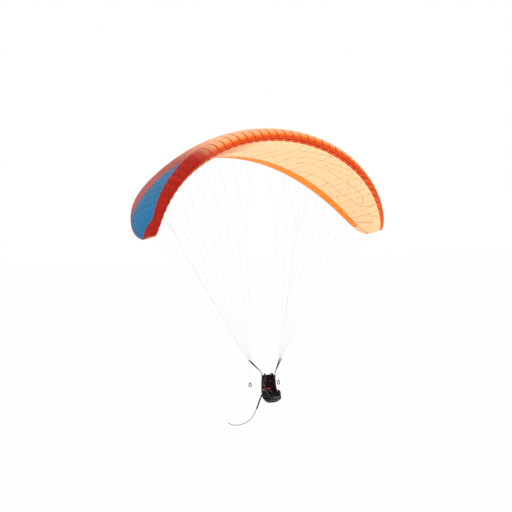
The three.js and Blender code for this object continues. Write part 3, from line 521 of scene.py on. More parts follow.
def frames_along(path, closed=False, first_side=None):
    """A direction and two cross directions at each point of a path, turning as little as they can."""
    path = np.asarray(path, float)
    if closed:
        along = np.roll(path, -1, 0) - np.roll(path, 1, 0)
    else:
        along = np.gradient(path, axis=0)
    along = unit(along)
    side = np.array(first_side if first_side is not None else (0.0, 0.0, 1.0), float)
    if first_side is None and abs(along[0] @ side) > 0.9:
        side = np.array((1.0, 0.0, 0.0))
    sides = []
    for direction in along:
        side = side - direction * (side @ direction)
        side = unit(side)
        sides.append(side.copy())
    sides = np.array(sides)
    return along, sides, np.cross(along, sides)


def tube(path, radius, sides=8, closed=False):
    """A round tube along a path. radius may be one number or one for each point."""
    path = np.asarray(path, float)
    _, a, b = frames_along(path, closed)
    radius = np.broadcast_to(np.asarray(radius, float), (len(path),))
    turn = np.arange(sides) * 2 * math.pi / sides
    ring = np.cos(turn)[None, :, None] * a[:, None] + np.sin(turn)[None, :, None] * b[:, None]
    points = path[:, None] + ring * radius[:, None, None]
    return points.reshape(-1, 3), swept_faces(len(path), sides, closed)


def band(path, width, thickness, across, closed=False, rounding=0.3):
    """Flat webbing along a path, its width along the given direction, with rounded edges."""
    path = np.asarray(path, float)
    _, side, face = frames_along(path, closed, across)
    w = np.broadcast_to(np.asarray(width, float) / 2, (len(path),))[:, None]
    t = thickness / 2
    e = np.minimum(t, w * rounding)
    upper = [(w, t * 0.4), (w - e, t), (0, t * 1.05), (e - w, t), (-w, t * 0.4)]
    lower = [(-w, -t * 0.4), (e - w, -t), (0, -t * 1.05), (w - e, -t)]
    outline = [(w, -t * 0.4)] + upper + lower
    points = np.stack([path + side * x + face * y for x, y in outline], 1)
    return points.reshape(-1, 3), swept_faces(len(path), len(outline), closed)


def smooth_path(points, count, closed=False):
    """A centripetal Catmull-Rom curve through points, at even steps."""
    p = np.asarray(points, float)
    if closed:
        p = np.concatenate([p[-1:], p, p[:2]])
    else:
        p = np.concatenate([[2 * p[0] - p[1]], p, [2 * p[-1] - p[-2]]])
    dense = []
    for i in range(1, len(p) - 2):
        a, b, c, d = p[i - 1:i + 3]
        ta = 0.0
        tb = ta + math.sqrt(np.linalg.norm(b - a))
        tc = tb + math.sqrt(np.linalg.norm(c - b))
        td = tc + math.sqrt(np.linalg.norm(d - c))
        for t in np.linspace(tb, tc, 24, endpoint=False):
            ab = a * (tb - t) / (tb - ta) + b * (t - ta) / (tb - ta)
            bc = b * (tc - t) / (tc - tb) + c * (t - tb) / (tc - tb)
            cd = c * (td - t) / (td - tc) + d * (t - tc) / (td - tc)
            abc = ab * (tc - t) / (tc - ta) + bc * (t - ta) / (tc - ta)
            bcd = bc * (td - t) / (td - tb) + cd * (t - tb) / (td - tb)
            dense.append(abc * (tc - t) / (tc - tb) + bcd * (t - tb) / (tc - tb))
    if not closed:
        dense.append(p[-2])
    dense = np.array(dense)
    if closed:
        dense = np.concatenate([dense, dense[:1]])
    run = np.concatenate([[0], np.cumsum(np.linalg.norm(np.diff(dense, axis=0), axis=1))])
    stops = np.linspace(0, run[-1], count + 1)[:-1] if closed else np.linspace(0, run[-1], count)
    return np.stack([np.interp(stops, run, dense[:, k]) for k in range(3)], 1)


def joint_named(name):
    return next(joint for joint in frame["joints"] if joint["name"] == name)


def middle_and_half(node):
    """The centre of a CAD node's box, and half its size."""
    low, high = (np.array(corner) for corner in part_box(node))
    return (low + high) / 2, (high - low) / 2


def rounded(values, power):
    """Powers below 1 square a circle's corners off."""
    return np.sign(values) * np.abs(values) ** power


def settle(piece, body, slot, *nodes):
    """The piece rides on the body and stands for the CAD nodes; slot is not used."""
    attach(piece, body)
    if nodes:
        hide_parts(*nodes)


# ---------------------------------------------------------------- the streaming tail
HANG_POINT = np.array((0.250, -0.120, -7.275))
TAIL_OFFSETS = [
    (-.112, .208, -.560), (-.120, .262, -.650), (-.128, .316, -.745), (-.136, .368, -.845),
    (-.144, .422, -.945), (-.152, .478, -1.045), (-.163, .545, -1.150), (-.176, .628, -1.255),
    (-.194, .730, -1.355),
    (-.218, .848, -1.440), (-.246, .975, -1.510), (-.279, 1.112, -1.562), (-.314, 1.255, -1.594),
    (-.350, 1.400, -1.606), (-.385, 1.535, -1.594), (-.414, 1.650, -1.552),
]
TAIL_ROUTE = np.array(TAIL_OFFSETS) + (0, HANG_POINT[1], HANG_POINT[2])
CORD_RADIUS = 0.009
SLEEVE_RADIUS = 0.024
SLEEVE_POINTS = 6
FADED_FROM = 145                  # the step of 240 from which the cord's cover is faded
TIE_POINTS, TIE_RADIUS = (22, 45, 67, 88), SLEEVE_RADIUS * 0.72


def make_tail():
    path = smooth_path(TAIL_ROUTE, 240)
    build = Build().add(*tube(path, CORD_RADIUS, 10))
    build.slots = [int(index // 10 > FADED_FROM) for index in range(len(build.slots))]
    cord = build.piece("streamer_cord", [BLACK_WEB, FADED_WEB])
    settle(cord, "harness", "webbing", "tail_cord")
    # gathered cloth sleeve, tied at four places
    steps, around = 90, 20
    run = smooth_path(TAIL_ROUTE[:SLEEVE_POINTS], steps)
    t = np.linspace(0, 1, steps)
    puff = 0.62 + 0.34 * np.abs(np.sin(t * math.pi * len(TIE_POINTS))) ** 0.5
    radius = SLEEVE_RADIUS * puff * np.where(t < 0.96, 1, 1 - (t - 0.96) * 9)
    points, faces = tube(run, radius, around)
    rings = points.reshape(steps, around, 3)
    fold = 1 + 0.10 * np.cos(np.arange(around) * 2 * math.pi / around * 5 + 2.2 * t[:, None] * math.pi)
    rings = run[:, None] + (rings - run[:, None]) * fold[..., None]
    sleeve = Build().add(rings, faces).piece("streamer_sleeve", [PACK_BLACK])
    settle(sleeve, "harness", "harness_cloth", "tail_sleeve")
    ties = Build()
    for k in TIE_POINTS:
        direction = unit(run[min(k + 1, steps - 1)] - run[k - 1])
        side = unit(np.cross(direction, X_AXIS))
        loop = circle(run[k], TIE_RADIUS * side, TIE_RADIUS * np.cross(direction, side), 24)
        ties.add(*tube(loop, 0.0022, 6, closed=True))
    ties = ties.piece("streamer_ties", [GREY_WEB])
    settle(ties, "harness", "webbing")
    end = TAIL_ROUTE[-1]
    along = unit(end - path[-4])
    side = unit(np.cross(along, Z_AXIS))
    loop = circle(end + along * 0.0285, along * 0.025, side * 0.0095, 36)
    hook = Build().add(*tube(loop, 0.0026, 8, closed=True))
    hook.add(*tube([end - along * 0.02, end + along * 0.006], [0.0062, 0.0066], 12))
    hook = hook.piece("streamer_ring", [STEEL])
    settle(hook, "harness", "steel", "tail_hook")


make_tail()


# ---------------------------------------------------------------- the canopy's shape
HALF_SPAN, ARCH_DROP, ARCH_ANGLE = 4.3, 2.69, math.radians(82)
RIBS = 22
TIP_U = 1.04
ROOT_CHORD, TIP_CHORD_RATIO, TAPER_POWER = 3.17, 0.433, 3
LIFT_CHORD, TIP_SWEEP, SWEEP_POWER = 0.30, 0.65, 2.5
THICKNESS, UPPER_SHARE, LOWER_SHARE = 0.172, 1.35, 0.65
TIP_CUT_START, TIP_CUT_TRAILING, TIP_CUT_LEADING = 0.88, 0.32, 0.11
PITCH = math.radians(9)
EDGE_HALF = 0.0016
INLET_TOP, INLET_BOTTOM = 0.004, 0.016     # the inner sail's lip reaches forward over the inlet
FLAP_RIBS, FLAP_CHORD = (8, 15), 0.74


def pitched(points):
    y, z = points[..., 1], points[..., 2]
    return np.stack([points[..., 0], y * math.cos(PITCH) + z * math.sin(PITCH),
                     -y * math.sin(PITCH) + z * math.cos(PITCH)], -1)


def arch(u):
    angle = u * ARCH_ANGLE
    x = HALF_SPAN * np.sin(angle) / math.sin(ARCH_ANGLE)
    z = -ARCH_DROP * (1 - np.cos(angle)) / (1 - math.cos(ARCH_ANGLE))
    dx = HALF_SPAN * np.cos(angle) / math.sin(ARCH_ANGLE)
    dz = -ARCH_DROP * np.sin(angle) / (1 - math.cos(ARCH_ANGLE))
    run = np.hypot(dx, dz)
    return x, z, -dz / run, dx / run


def arch_frame(rib):
    """The arch's point at a rib, and the direction out of the sail there, as flown."""
    x, z, nx, nz = arch(rib * TIP_U / RIBS)
    return pitched(np.array([x, 0, z])), pitched(np.array([nx, 0, nz]))


def chord_line(u):
    span = np.abs(u)
    chord = ROOT_CHORD * (1 - (1 - TIP_CHORD_RATIO) * span ** TAPER_POWER)
    leading = -LIFT_CHORD * ROOT_CHORD + TIP_SWEEP * span ** SWEEP_POWER
    tip = np.maximum(0, (span - TIP_CUT_START) / (TIP_U - TIP_CUT_START))
    return leading + TIP_CUT_LEADING * tip ** 4, leading + chord - TIP_CUT_TRAILING * tip ** 4


def half_thickness(f):
    curve = 0.2969 * np.sqrt(f) - 0.126 * f - 0.3516 * f ** 2 + 0.2843 * f ** 3 - 0.1036 * f ** 4
    return 5 * THICKNESS * curve


def section_point(rib, f, share, lift):
    """A point at chord fraction f, share of the half thickness and lift above the chord, before the pitch."""
    u = rib * TIP_U / RIBS
    leading, trailing = chord_line(u)
    chord = trailing - leading
    x, z, nx, nz = arch(u)
    height = share * half_thickness(f) * chord + lift
    return np.stack([x + nx * height, leading + f * chord, z + nz * height], -1)


def flat_skin(rib, f, lower):
    """A point of a skin without its billows. On the outer skin f below 0 is round the nose."""
    rib, f = np.broadcast_arrays(np.asarray(rib, float), np.asarray(f, float))
    share = np.where(f < 0, -LOWER_SHARE, -LOWER_SHARE if lower else UPPER_SHARE)
    lift = np.where(f < 0, EDGE_HALF * f, -EDGE_HALF if lower else EDGE_HALF)
    return section_point(rib, np.abs(f), share, lift)


EVEN_BILLOW, NOSE_BILLOW, BILLOW_FADE = 0.014, {"upper": 0.020, "lower": 0.012}, 0.35


def billow(rib, f, lower):
    """How far the cloth swells out between two ribs."""
    share = np.abs(np.sin(math.pi * rib)) ** 0.85
    f = np.abs(f)
    calm = 1 - 0.5 * np.clip((np.abs(rib) - 10) / 4, 0, 1)
    at_nose = NOSE_BILLOW["lower" if lower else "upper"]
    rise = calm * at_nose * np.exp(-((f / BILLOW_FADE) ** 2)) + EVEN_BILLOW
    tip = 1 - 0.55 * np.clip((np.abs(rib) - 17) / 5, 0, 1)
    return share * rise * tip * np.clip((1 - f) / 0.06, 0, 1) ** 0.5


def skin_point(rib, f, lower, lift=0.0):
    """A point of the sail as it flies, billowed between its ribs, lift above its surface."""
    rib, f = np.broadcast_arrays(np.asarray(rib, float), np.asarray(f, float))
    step = 1e-4
    along_span = flat_skin(rib + step, f, lower) - flat_skin(rib - step, f, lower)
    nose = (np.abs(f) < 2 * step) & (not lower)
    low, high = (f, f + 2 * step) if lower else (f - step, f + step)
    low = np.minimum(np.where(nose, step, low), 1.0 - step)
    high = np.minimum(np.where(nose, 2 * step, high), 1.0)
    along_chord = flat_skin(rib, high, lower) - flat_skin(rib, low, lower)
    out = np.cross(along_span, along_chord)
    out = unit(out)
    out = np.where(nose[..., None], -Y_AXIS, -out if lower else out)
    return pitched(flat_skin(rib, f, lower) + out * (billow(rib, f, lower) + lift)[..., None])


CELL_STEPS = 8
AFT_STATIONS = np.concatenate([np.linspace(0.43, 0.94, 18), [0.958, 0.972, 0.985, 0.994, 1.0]])
OUTER_STATIONS = np.concatenate([
    [-INLET_TOP, -0.0025, -0.0012, 0.0, 0.0006, 0.0016, 0.003, 0.005, 0.008, 0.012, 0.017, 0.023],
    [0.03, 0.04, 0.052, 0.066, 0.082, 0.1], np.linspace(0.12, 0.4, 13), AFT_STATIONS])
INNER_STATIONS = np.concatenate([
    [INLET_BOTTOM, 0.028, 0.034, 0.042, 0.052, 0.066, 0.082, 0.1], np.linspace(0.125, 0.4, 11), AFT_STATIONS])

# regions of the sail by rib: name, first rib, last rib, the part of the brake's pull worked out for it,
# though never applied
REGIONS = [("centre", -4, 4, None, None)]
for _side in SIDES:
    REGIONS += [(f"{_side}_inner", 4, 8, _side, "inner"), (f"{_side}_brake", 8, 15, _side, "flap"),
                (f"{_side}_outer", 15, 19, _side, "outer"), (f"{_side}_tip", 19, 22, _side, None)]

FOLD_AHEAD, FOLD_AFT = 0.42, 0.22       # where the worked-out bend would start before the hinge line, and end
FADE_RIBS = 4


def bend_with_brake(piece, side, part):
    """Works out a bend over the flap's hinge line that fades out over a few ribs on either side, then only
    bakes the piece's transform; the bend is not applied.
    """
    centre = np.array(joint_named(f"flap_{side}")["pos_m"])
    aft = pitched(Y_AXIS)
    start = centre - aft * FOLD_AHEAD
    gradient = aft / (FOLD_AHEAD + FOLD_AFT)
    if part != "flap":
        rib, away = (FLAP_RIBS[0], -1) if part == "inner" else (FLAP_RIBS[1], 1)
        sign = SIDES[side]
        edge, up = arch_frame(sign * rib)
        end, _ = arch_frame(sign * (rib + away * FADE_RIBS))
        across = end - edge
        across -= aft * (across @ aft)
        reach = np.linalg.norm(across)
        # the rib's own plane holds the chord and the arch's normal, so this runs square to it
        across = unit(across)
        across = unit(across - up * (across @ up))
        _, trailing = chord_line(sign * rib * TIP_U / RIBS)
        most = (trailing - (centre @ aft - FOLD_AHEAD)) / (FOLD_AHEAD + FOLD_AFT)
        fall = across * (most / reach)
        # t = (P - start).gradient - (P - edge).fall, so the point where t is 0 moves along with both
        total = gradient - fall
        offset = (start @ gradient) - (edge @ fall)
        start = total * (offset / (total @ total))
        gradient = total
    end = start + gradient / (gradient @ gradient)
    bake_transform(piece)


def follow(piece, side, part):
    if part is None:
        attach(piece, "canopy")
    else:
        bend_with_brake(piece, side, part)


def sail_map(piece, values):
    layer = piece.data.uv_layers.new(name="sail")
    corners = np.zeros(len(piece.data.loops), np.int32)
    piece.data.loops.foreach_get("vertex_index", corners)
    layer.data.foreach_set("uv", np.asarray(values, np.float32)[corners].ravel())


def crease_ribs(piece, values):
    """The seams over the ribs stay sharp."""
    mesh = piece.data
    ends = np.zeros(len(mesh.edges) * 2, np.int32)
    mesh.edges.foreach_get("vertices", ends)
    rib = values[:, 0][ends.reshape(-1, 2)]
    on_rib = np.abs(rib - np.round(rib)) < 1e-6
    same = np.abs(rib[:, 0] - rib[:, 1]) < 1e-6
    sharp = mesh.attributes.new("sharp_edge", "BOOLEAN", "EDGE")
    sharp.data.foreach_set("value", on_rib.all(1) & same)


def sail_piece(name, ribs, stations, lower, material):
    steps = int(round((ribs[1] - ribs[0]) * CELL_STEPS))
    columns = np.linspace(ribs[0], ribs[1], steps + 1)
    rib, f = np.meshgrid(columns, stations, indexing="ij")
    points = skin_point(rib, f, lower)
    faces = grid_faces(len(columns), len(stations))
    if lower:
        faces = [face[::-1] for face in faces]
    piece = new_piece(name, points.reshape(-1, 3), faces, [material])
    values = np.stack([rib.ravel(), f.ravel()], 1)
    sail_map(piece, values)
    crease_ribs(piece, values)
    return piece


# seams of the inner sail for one half, as rib number and chord fraction; the other half mirrors them
INNER_SEAMS = [
    [(0, 0.80), (0, 0.32)],
    [(1, 0.80), (1, 0.45), (1.3, 0.30)],
    [(2.2, 0.80), (2.2, 0.48), (2.4, 0.30)],
    [(3.4, 0.80), (3.5, 0.55), (4, 0.20), (6.3, 0.13), (8.2, 0.06)],
    [(5.8, 0.80), (5.2, 0.42), (6.4, 0.29), (8.4, 0.19), (10.6, 0.11), (12, 0.06)],
    [(7, 0.80), (7, 0.58), (7.2, 0.42), (9.8, 0.33), (13, 0.30), (15.5, 0.21), (16.2, 0.22), (17.5, 0.33)],
    [(8.8, 0.28), (10.5, 0.23), (12.9, 0.12), (14, 0.06)],
    [(7.8, 0.80), (8.4, 0.76), (9.9, 0.60), (12.3, 0.555), (15, 0.53), (17.5, 0.38), (17.9, 0.20),
     (17.9, 0.05)],
    [(10.3, 0.80), (9.9, 0.60)], [(12.3, 0.555), (12.6, 0.81)],
    [(12.5, 0.20), (13.5, 0.28)], [(14.6, 0.63), (15.7, 0.75)],
    [(19.8, 0.78), (20.5, 0.25)], [(18.9, 0.28), (19.6, 0.25)], [(19.5, 0.23), (19.8, 0.06)],
]
SEAM_WIDTH = 0.018
SEAM_RISE = 0.0016
CELL_WIDTH, MEAN_CHORD, RUN_STEP = 0.27, 3.0, 0.035
# tapes along the span: chord fraction, on the inner sail or not, width
EDGE_TAPES = [(-0.0036, False, 0.016), (INLET_BOTTOM + 0.002, True, 0.016), (0.82, True, 0.026),
              (0.992, True, 0.03), (0.992, False, 0.03)]


def seam_strip(build, rib, f, lower, width, ribs, slot, rise=SEAM_RISE):
    """A narrow tape along a run of (rib, chord) values, kept to one region of the sail."""
    centre = skin_point(rib, f, lower)
    along = np.gradient(centre, axis=0)
    lifted = skin_point(rib, f, lower, 0.01)
    up = lifted - centre
    up = unit(up)
    side = np.cross(along, up)
    side = unit(side)
    low, high = min(ribs), max(ribs)
    half = side * width / 2
    outline = np.stack([centre - half - up * rise, centre - half * 0.9 + up * rise, centre + up * rise * 1.3,
                        centre + half * 0.9 + up * rise, centre + half - up * rise], 1)
    middle = (rib[1:] + rib[:-1]) / 2
    kept = (middle >= low - 1e-9) & (middle <= high + 1e-9)
    faces = []
    for i in np.flatnonzero(kept):
        for j in range(4):
            faces.append((i * 5 + j, i * 5 + j + 1, (i + 1) * 5 + j + 1, (i + 1) * 5 + j))
    if faces:
        used = sorted({v for face in faces for v in face})
        number = {v: n for n, v in enumerate(used)}
        build.add(outline.reshape(-1, 3)[used], [tuple(number[v] for v in face) for face in faces], slot)


def run_of(points, sign):
    """Even samples along a polyline of (rib, chord) values, one about every RUN_STEP metres."""
    ribs, chords = [], []
    for (ra, fa), (rb, fb) in zip(points, points[1:]):
        n = max(2, int(math.hypot((rb - ra) * CELL_WIDTH, (fb - fa) * MEAN_CHORD) / RUN_STEP))
        t = np.linspace(0, 1, n, endpoint=False)
        ribs.append(ra + (rb - ra) * t)
        chords.append(fa + (fb - fa) * t)
    ribs.append([points[-1][0]])
    chords.append([points[-1][1]])
    return sign * np.concatenate(ribs), np.concatenate(chords)


def spanwise(f, ribs):
    columns = np.linspace(ribs[0], ribs[1], int(round(abs(ribs[1] - ribs[0]) * CELL_STEPS)) + 1)
    return columns, np.full(len(columns), float(f))


def make_seams(name, ribs, side, part):
    build = Build()
    for sign in ((-1, 1) if side is None else (SIDES[side],)):
        for points in INNER_SEAMS:
            seam_strip(build, *run_of(points, sign), True, SEAM_WIDTH, ribs, 0)
    for f, lower, width in EDGE_TAPES:
        seam_strip(build, *spanwise(f, ribs), lower, width, ribs, 2)
    # tapes over the ribs: slot 1 on the nose in dark red, painted shade of the valleys between the cells,
    # slot 3 on the inner sail
    for rib in range(int(min(ribs)), int(max(ribs)) + 1):
        for lower, first, last, slot in ((False, 0.002, 0.16, 1), (True, INLET_BOTTOM, 0.985, 3)):
            f = first + (last - first) * np.linspace(0, 1, 60) ** 1.6
            seam_strip(build, np.full(60, float(rib)), f, lower, 0.009, ribs, slot, 0.0022)
    piece = build.piece(name, [SEAM_TAN, SEAM_RED_AND_SHADE, SEAM_ORANGE, SEAM_CREAM])
    follow(piece, side, part)
    return piece


RIB_STATIONS = np.concatenate([[0.006, 0.014, 0.028], np.linspace(0.05, 0.96, 27)])


def make_ribs(name, ribs, side, part):
    """Cross walls of the cells, with round holes that let the air through."""
    build = Build()
    step = 1 if ribs[1] > ribs[0] else -1
    first = ribs[0] if (side is None or part == "inner") else ribs[0] + step
    for rib in range(first, ribs[1] + step, step):
        top, bottom = (pitched(section_point(rib, RIB_STATIONS, share, 0.0))
                       for share in (UPPER_SHARE, -LOWER_SHARE))
        count = len(top)
        rows = 7
        t = np.linspace(0, 1, rows)
        sheet = top[:, None] * (1 - t[:, None]) + bottom[:, None] * t[:, None]
        faces = []
        for i in range(count - 1):
            hole = 5 <= i < count - 7 and (i % 4) in (1, 2)
            for j in range(rows - 1):
                if hole and j in (2, 3):
                    continue
                faces.append((i * rows + j, i * rows + j + 1, (i + 1) * rows + j + 1, (i + 1) * rows + j))
        build.add(sheet, faces)
    piece = build.piece(name, [RIB_CLOTH])
    follow(piece, side, part)
    return piece


def make_canopy():
    for name, first, last, side, part in REGIONS:
        sign = SIDES.get(side, 1)
        ribs = (first * sign, last * sign)
        span = (min(ribs), max(ribs))
        outer = sail_piece(f"outer_sail_{name}", span, OUTER_STATIONS, False, OUTER)
        inner = sail_piece(f"inner_sail_{name}", span, INNER_STATIONS, True, INNER)
        for piece in (outer, inner):
            follow(piece, side, part)
        seams = make_seams(f"seams_{name}", span, side, part)
        walls = make_ribs(f"cell_ribs_{name}", ribs, side, part)
        if name == "centre":
            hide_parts("upper_skin_centre")
            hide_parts("lower_skin_centre")
            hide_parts("rib_centre")
        elif part == "flap":
            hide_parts(f"brake_flap_{side}")
        elif part == "inner":
            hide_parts(f"rib_{side}_6")
        elif part == "outer":
            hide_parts(f"rib_{side}_18")
        else:
            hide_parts(f"upper_skin_{side}")
            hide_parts(f"lower_skin_{side}")
            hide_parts(f"tip_rib_{side}")


make_canopy()


# ---------------------------------------------------------------- suspension lines
MAIN_LINE, UPPER_LINE = 0.0013, 0.0010
ROW_CHORD = {"a": 0.09, "b": 0.32, "c": 0.58}
ROW_Y = {"a": -0.055, "b": 0.0, "c": 0.055}
LINE_GROUPS = [(2, 4, 6), (8, 10, 12), (14, 16, 18)]
MAIN_KNOT, UPPER_KNOT = 0.62, 0.84
STABILISER = [(20, 0.30), (21.7, 0.55)]
BRAKE_RIBS = (9, 11, 13, 14)
BRAKE_KNOT = 0.74
HAND_LINE = 0.56            # brake line between its pulley and its handle
RISER_TOP = np.array((0.598, 0.040, -6.749))
PULLEY = np.array((0.548, 0.118, -6.860))
MAILLON_HEIGHT, MAILLON_WIRE = 0.030, 0.002
LOOP_CLEARANCE = 0.0016
KNOT_RADIUS = 0.0022


def mirrored(point, sign):
    return np.array((sign * point[0], point[1], point[2]))


def attach_point(sign, rib, f):
    """Where a line meets its tab, just under the inner sail."""
    return pitched(section_point(sign * rib, f, -LOWER_SHARE, -EDGE_HALF - 0.003))


def lerp(a, b, t):
    return a + (b - a) * t


def line(build, a, b, radius):
    """A straight line with a short spliced loop of doubled sheath at each end."""
    along = unit(b - a)
    splice = 0.09
    stops = [0, 0.004, splice, splice + 0.012]
    path = [a + along * s for s in stops] + [b - along * s for s in stops[::-1]]
    thick = [1.35, 1.35, 1.3, 1.0]
    build.add(*tube(path, [radius * t for t in thick + thick[::-1]], 6))


def knot(build, at, along):
    along = unit(along)
    path = [at + along * run for run in (-0.007, -0.004, 0, 0.004, 0.007)]
    build.add(*tube(path, [0.0008, 0.0026, 0.0031, 0.0026, 0.0008], 8))


def tab(build, at, sign, rib):
    """A short loop of tape sewn to the sail, which the line runs through."""
    down = -arch_frame(sign * rib)[1]
    aft = pitched(Y_AXIS)
    path = [at - down * 0.012 - aft * 0.012, at + aft * -0.006, at + down * 0.006, at + aft * 0.006,
            at - down * 0.012 + aft * 0.012]
    across = np.cross(down, aft)
    build.add(*band(smooth_path(path, 14), 0.010, 0.0012, across), 1)


def make_line_row(side, row):
    sign = SIDES[side]
    build = Build()
    bar = mirrored(RISER_TOP, sign) + (0, ROW_Y[row], MAILLON_HEIGHT / 2 - MAILLON_WIRE)
    start = bar + (0, 0, MAILLON_WIRE + LOOP_CLEARANCE + KNOT_RADIUS + 0.0006)
    reach = MAILLON_WIRE + LOOP_CLEARANCE
    build.add(*tube(circle(bar, reach * Z_AXIS, reach * Y_AXIS, 16), 0.0012, 6, closed=True))
    second = (UPPER_KNOT - MAIN_KNOT) / (1 - MAIN_KNOT)
    groups = [[(r, ROW_CHORD[row]) for r in ribs] for ribs in LINE_GROUPS]
    if row == "c":
        groups.append(STABILISER)
    knot(build, start, np.array((0, 0, 1.0)))
    for ribs in groups:
        ends = [attach_point(sign, r, f) for r, f in ribs]
        fork = lerp(start, np.mean(ends, 0), 0.86 if len(ends) < 3 else MAIN_KNOT)
        line(build, start, fork, MAIN_LINE)
        knot(build, fork, fork - start)
        if len(ends) == 3:
            upper = lerp(fork, np.mean(ends[:2], 0), second)
            line(build, fork, upper, UPPER_LINE)
            knot(build, upper, upper - fork)
            line(build, fork, ends[2], UPPER_LINE)
            for end in ends[:2]:
                line(build, upper, end, UPPER_LINE)
        else:
            for end in ends:
                line(build, fork, end, UPPER_LINE)
        for end, (r, _) in zip(ends, ribs):
            tab(build, end, sign, r)
    sheath = {"a": LINE_BEIGE, "b": LINE_GREY, "c": LINE_GREY}[row]
    piece = build.piece(f"suspension_lines_{row}_{side}", [sheath, BLACK_WEB])
    settle(piece, "canopy", "line", f"lines_{row}_{side}")


def make_brake_lines(side):
    sign = SIDES[side]
    bend = mirrored(PULLEY, sign)
    ends = [attach_point(sign, rib, 0.985) for rib in BRAKE_RIBS]
    fork = lerp(bend, np.mean(ends, 0), BRAKE_KNOT)
    build = Build()
    knot(build, fork, fork - bend)
    for end in ends:
        line(build, fork, end, UPPER_LINE)
    fan = build.piece(f"brake_fan_lines_{side}", [LINE_MAUVE])
    settle(fan, f"fan_{side}", "line", f"brake_fan_{side}")
    # the main brake line runs from the pulley to the fork
    steps = np.linspace(0, 1, 60)[:, None]
    main = Build().add(*tube(bend + (fork - bend) * (0.003 + 0.995 * steps), MAIN_LINE, 8))
    main = main.piece(f"brake_main_line_{side}", [LINE_MAUVE])
    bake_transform(main)
    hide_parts(f"brake_main_{side}")
    grip = bend - (0, 0, HAND_LINE)
    route = bend - (0, 0, 0.002) + (grip - bend + (0, 0, 0.004)) * steps
    lower = Build().add(*tube(route, MAIN_LINE * 1.15, 8))
    lower = lower.piece(f"brake_hand_line_{side}", [LINE_MAUVE])
    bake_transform(lower)
    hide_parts(f"brake_line_{side}")


for _side in SIDES:
    for _row in "abc":
        make_line_row(_side, _row)
    make_brake_lines(_side)


# ---------------------------------------------------------------- webbing, with its loops and stitches
WEB_W, WEB_T = 0.022, 0.0024
BAR_RADIUS, BEND_ROOM = 0.005, 0.0044
CARABINER_H, CARABINER_W = 0.104, 0.058


def from_hang(offset, sign=1):
    return np.array((sign * offset[0], HANG_POINT[1] + offset[1], HANG_POINT[2] + offset[2]))


def at_step(path, k):
    """A path's point and its direction there."""
    return path[k], path[k + 1] - path[k]


def stitch_box(build, at, along, across, length, width, slot, rise=0.0015):
    """A sewn box with a cross in it, as thread lying on webbing, on both of its faces."""
    along, across, up = square_to(along, across)
    for face in (-rise, rise):
        corners = [at + up * face + along * length * i / 2 + across * width * j / 2
                   for i, j in ((-1, -1), (1, -1), (1, 1), (-1, 1))]
        a, b, c, d = corners
        build.add(*tube([a, b, c, d, a], 0.0005, 4), slot)
        build.add(*tube([a, c], 0.0005, 4), slot)
        build.add(*tube([b, d], 0.0005, 4), slot)


def bar_loop(build, bar, towards):
    """Webbing that runs round a bar along X and closes towards the given direction."""
    radius = BAR_RADIUS + BEND_ROOM + WEB_T / 2
    towards = unit(towards)
    aside = np.cross(X_AXIS, towards)
    turns = np.radians(np.linspace(38, 322, 34))
    ring = [bar + radius * (np.cos(t) * towards + np.sin(t) * aside) for t in turns]
    reach = radius + 0.016
    path = [bar + towards * reach + aside * 0.0014] + ring + [bar + towards * reach - aside * 0.0014]
    build.add(*band(smooth_path(path, 60), WEB_W, WEB_T, X_AXIS))
    return bar + towards * (reach - 0.003)


def keeper(build, at, along, across, width, slot, height):
    """An elastic ring round a strap."""
    along, across, up = square_to(along, across)
    ring = circle(at, across * (width / 2 + 0.0025), up * height, 20)
    build.add(*band(ring, 0.014, 0.0012, along, closed=True), slot)


def make_riser(side):
    sign = SIDES[side]
    build = Build()
    base = from_hang((0.250, 0, CARABINER_H - 2 * BAR_RADIUS), sign)
    neck = base + (sign * 0.022, 0.008, 0.040)
    start = bar_loop(build, base, Z_AXIS)
    build.add(*band(smooth_path([start, lerp(start, neck, 0.5), neck], 8), WEB_W, 2.2 * WEB_T, X_AXIS))
    stitch_box(build, lerp(start, neck, 0.5), neck - start, X_AXIS, 0.018, 0.016, 1, 0.0030)
    for row, shift in ROW_Y.items():
        bar = mirrored(RISER_TOP, sign) + (0, shift, -(MAILLON_HEIGHT / 2 - MAILLON_WIRE))
        reach = MAILLON_WIRE + LOOP_CLEARANCE + 0.0008
        top = bar - (0, 0, reach)
        foot = neck + (0, np.sign(shift) * WEB_T, -0.004)
        path = np.linspace(foot, top, 50)
        narrow = np.interp(np.linspace(0, 1, 50), [0, 0.955, 1], [WEB_W * 0.9, WEB_W * 0.9, 0.006])
        build.add(*band(path, narrow, WEB_T, X_AXIS))
        ring = circle(bar, reach * Z_AXIS, reach * Y_AXIS, 20)
        build.add(*band(ring, 0.0056, 0.0016, X_AXIS, closed=True))
        stitch_box(build, path[44], top - foot, X_AXIS, 0.030, 0.014, 1)
        stitch_box(build, path[36], top - foot, X_AXIS, 0.022, 0.014, 1)
    rear = top - foot               # the strap made last
    for share in (0.10, 0.42) if side == "left" else (0.10,):
        at = lerp(neck, mirrored(RISER_TOP, sign) - (0, 0, 0.02), share)
        keeper(build, at, rear, X_AXIS, WEB_W, 2, 0.004 + 0.055 * share)
    piece = build.piece(f"riser_webbing_{side}", [BLACK_WEB, LINE_GREY, BLUE_WEB])
    settle(piece, "canopy", "webbing", f"riser_{side}")


SIDE_BRANCH = [(.246, -.006, -.150), (.228, -.060, -.330), (.222, -.080, -.520)]
SHOULDER_BRANCH = [(.247, -.004, -.118), (.190, -.060, -.060), (.150, -.060, .020), (.125, 0, .078),
                   (.110, .062, .062), (.105, .084, .042)]
LEG_STRAP = [(.030, -.274, -.585), (.064, -.299, -.500), (.120, -.274, -.440), (.165, -.204, -.430),
             (.186, -.124, -.470)]


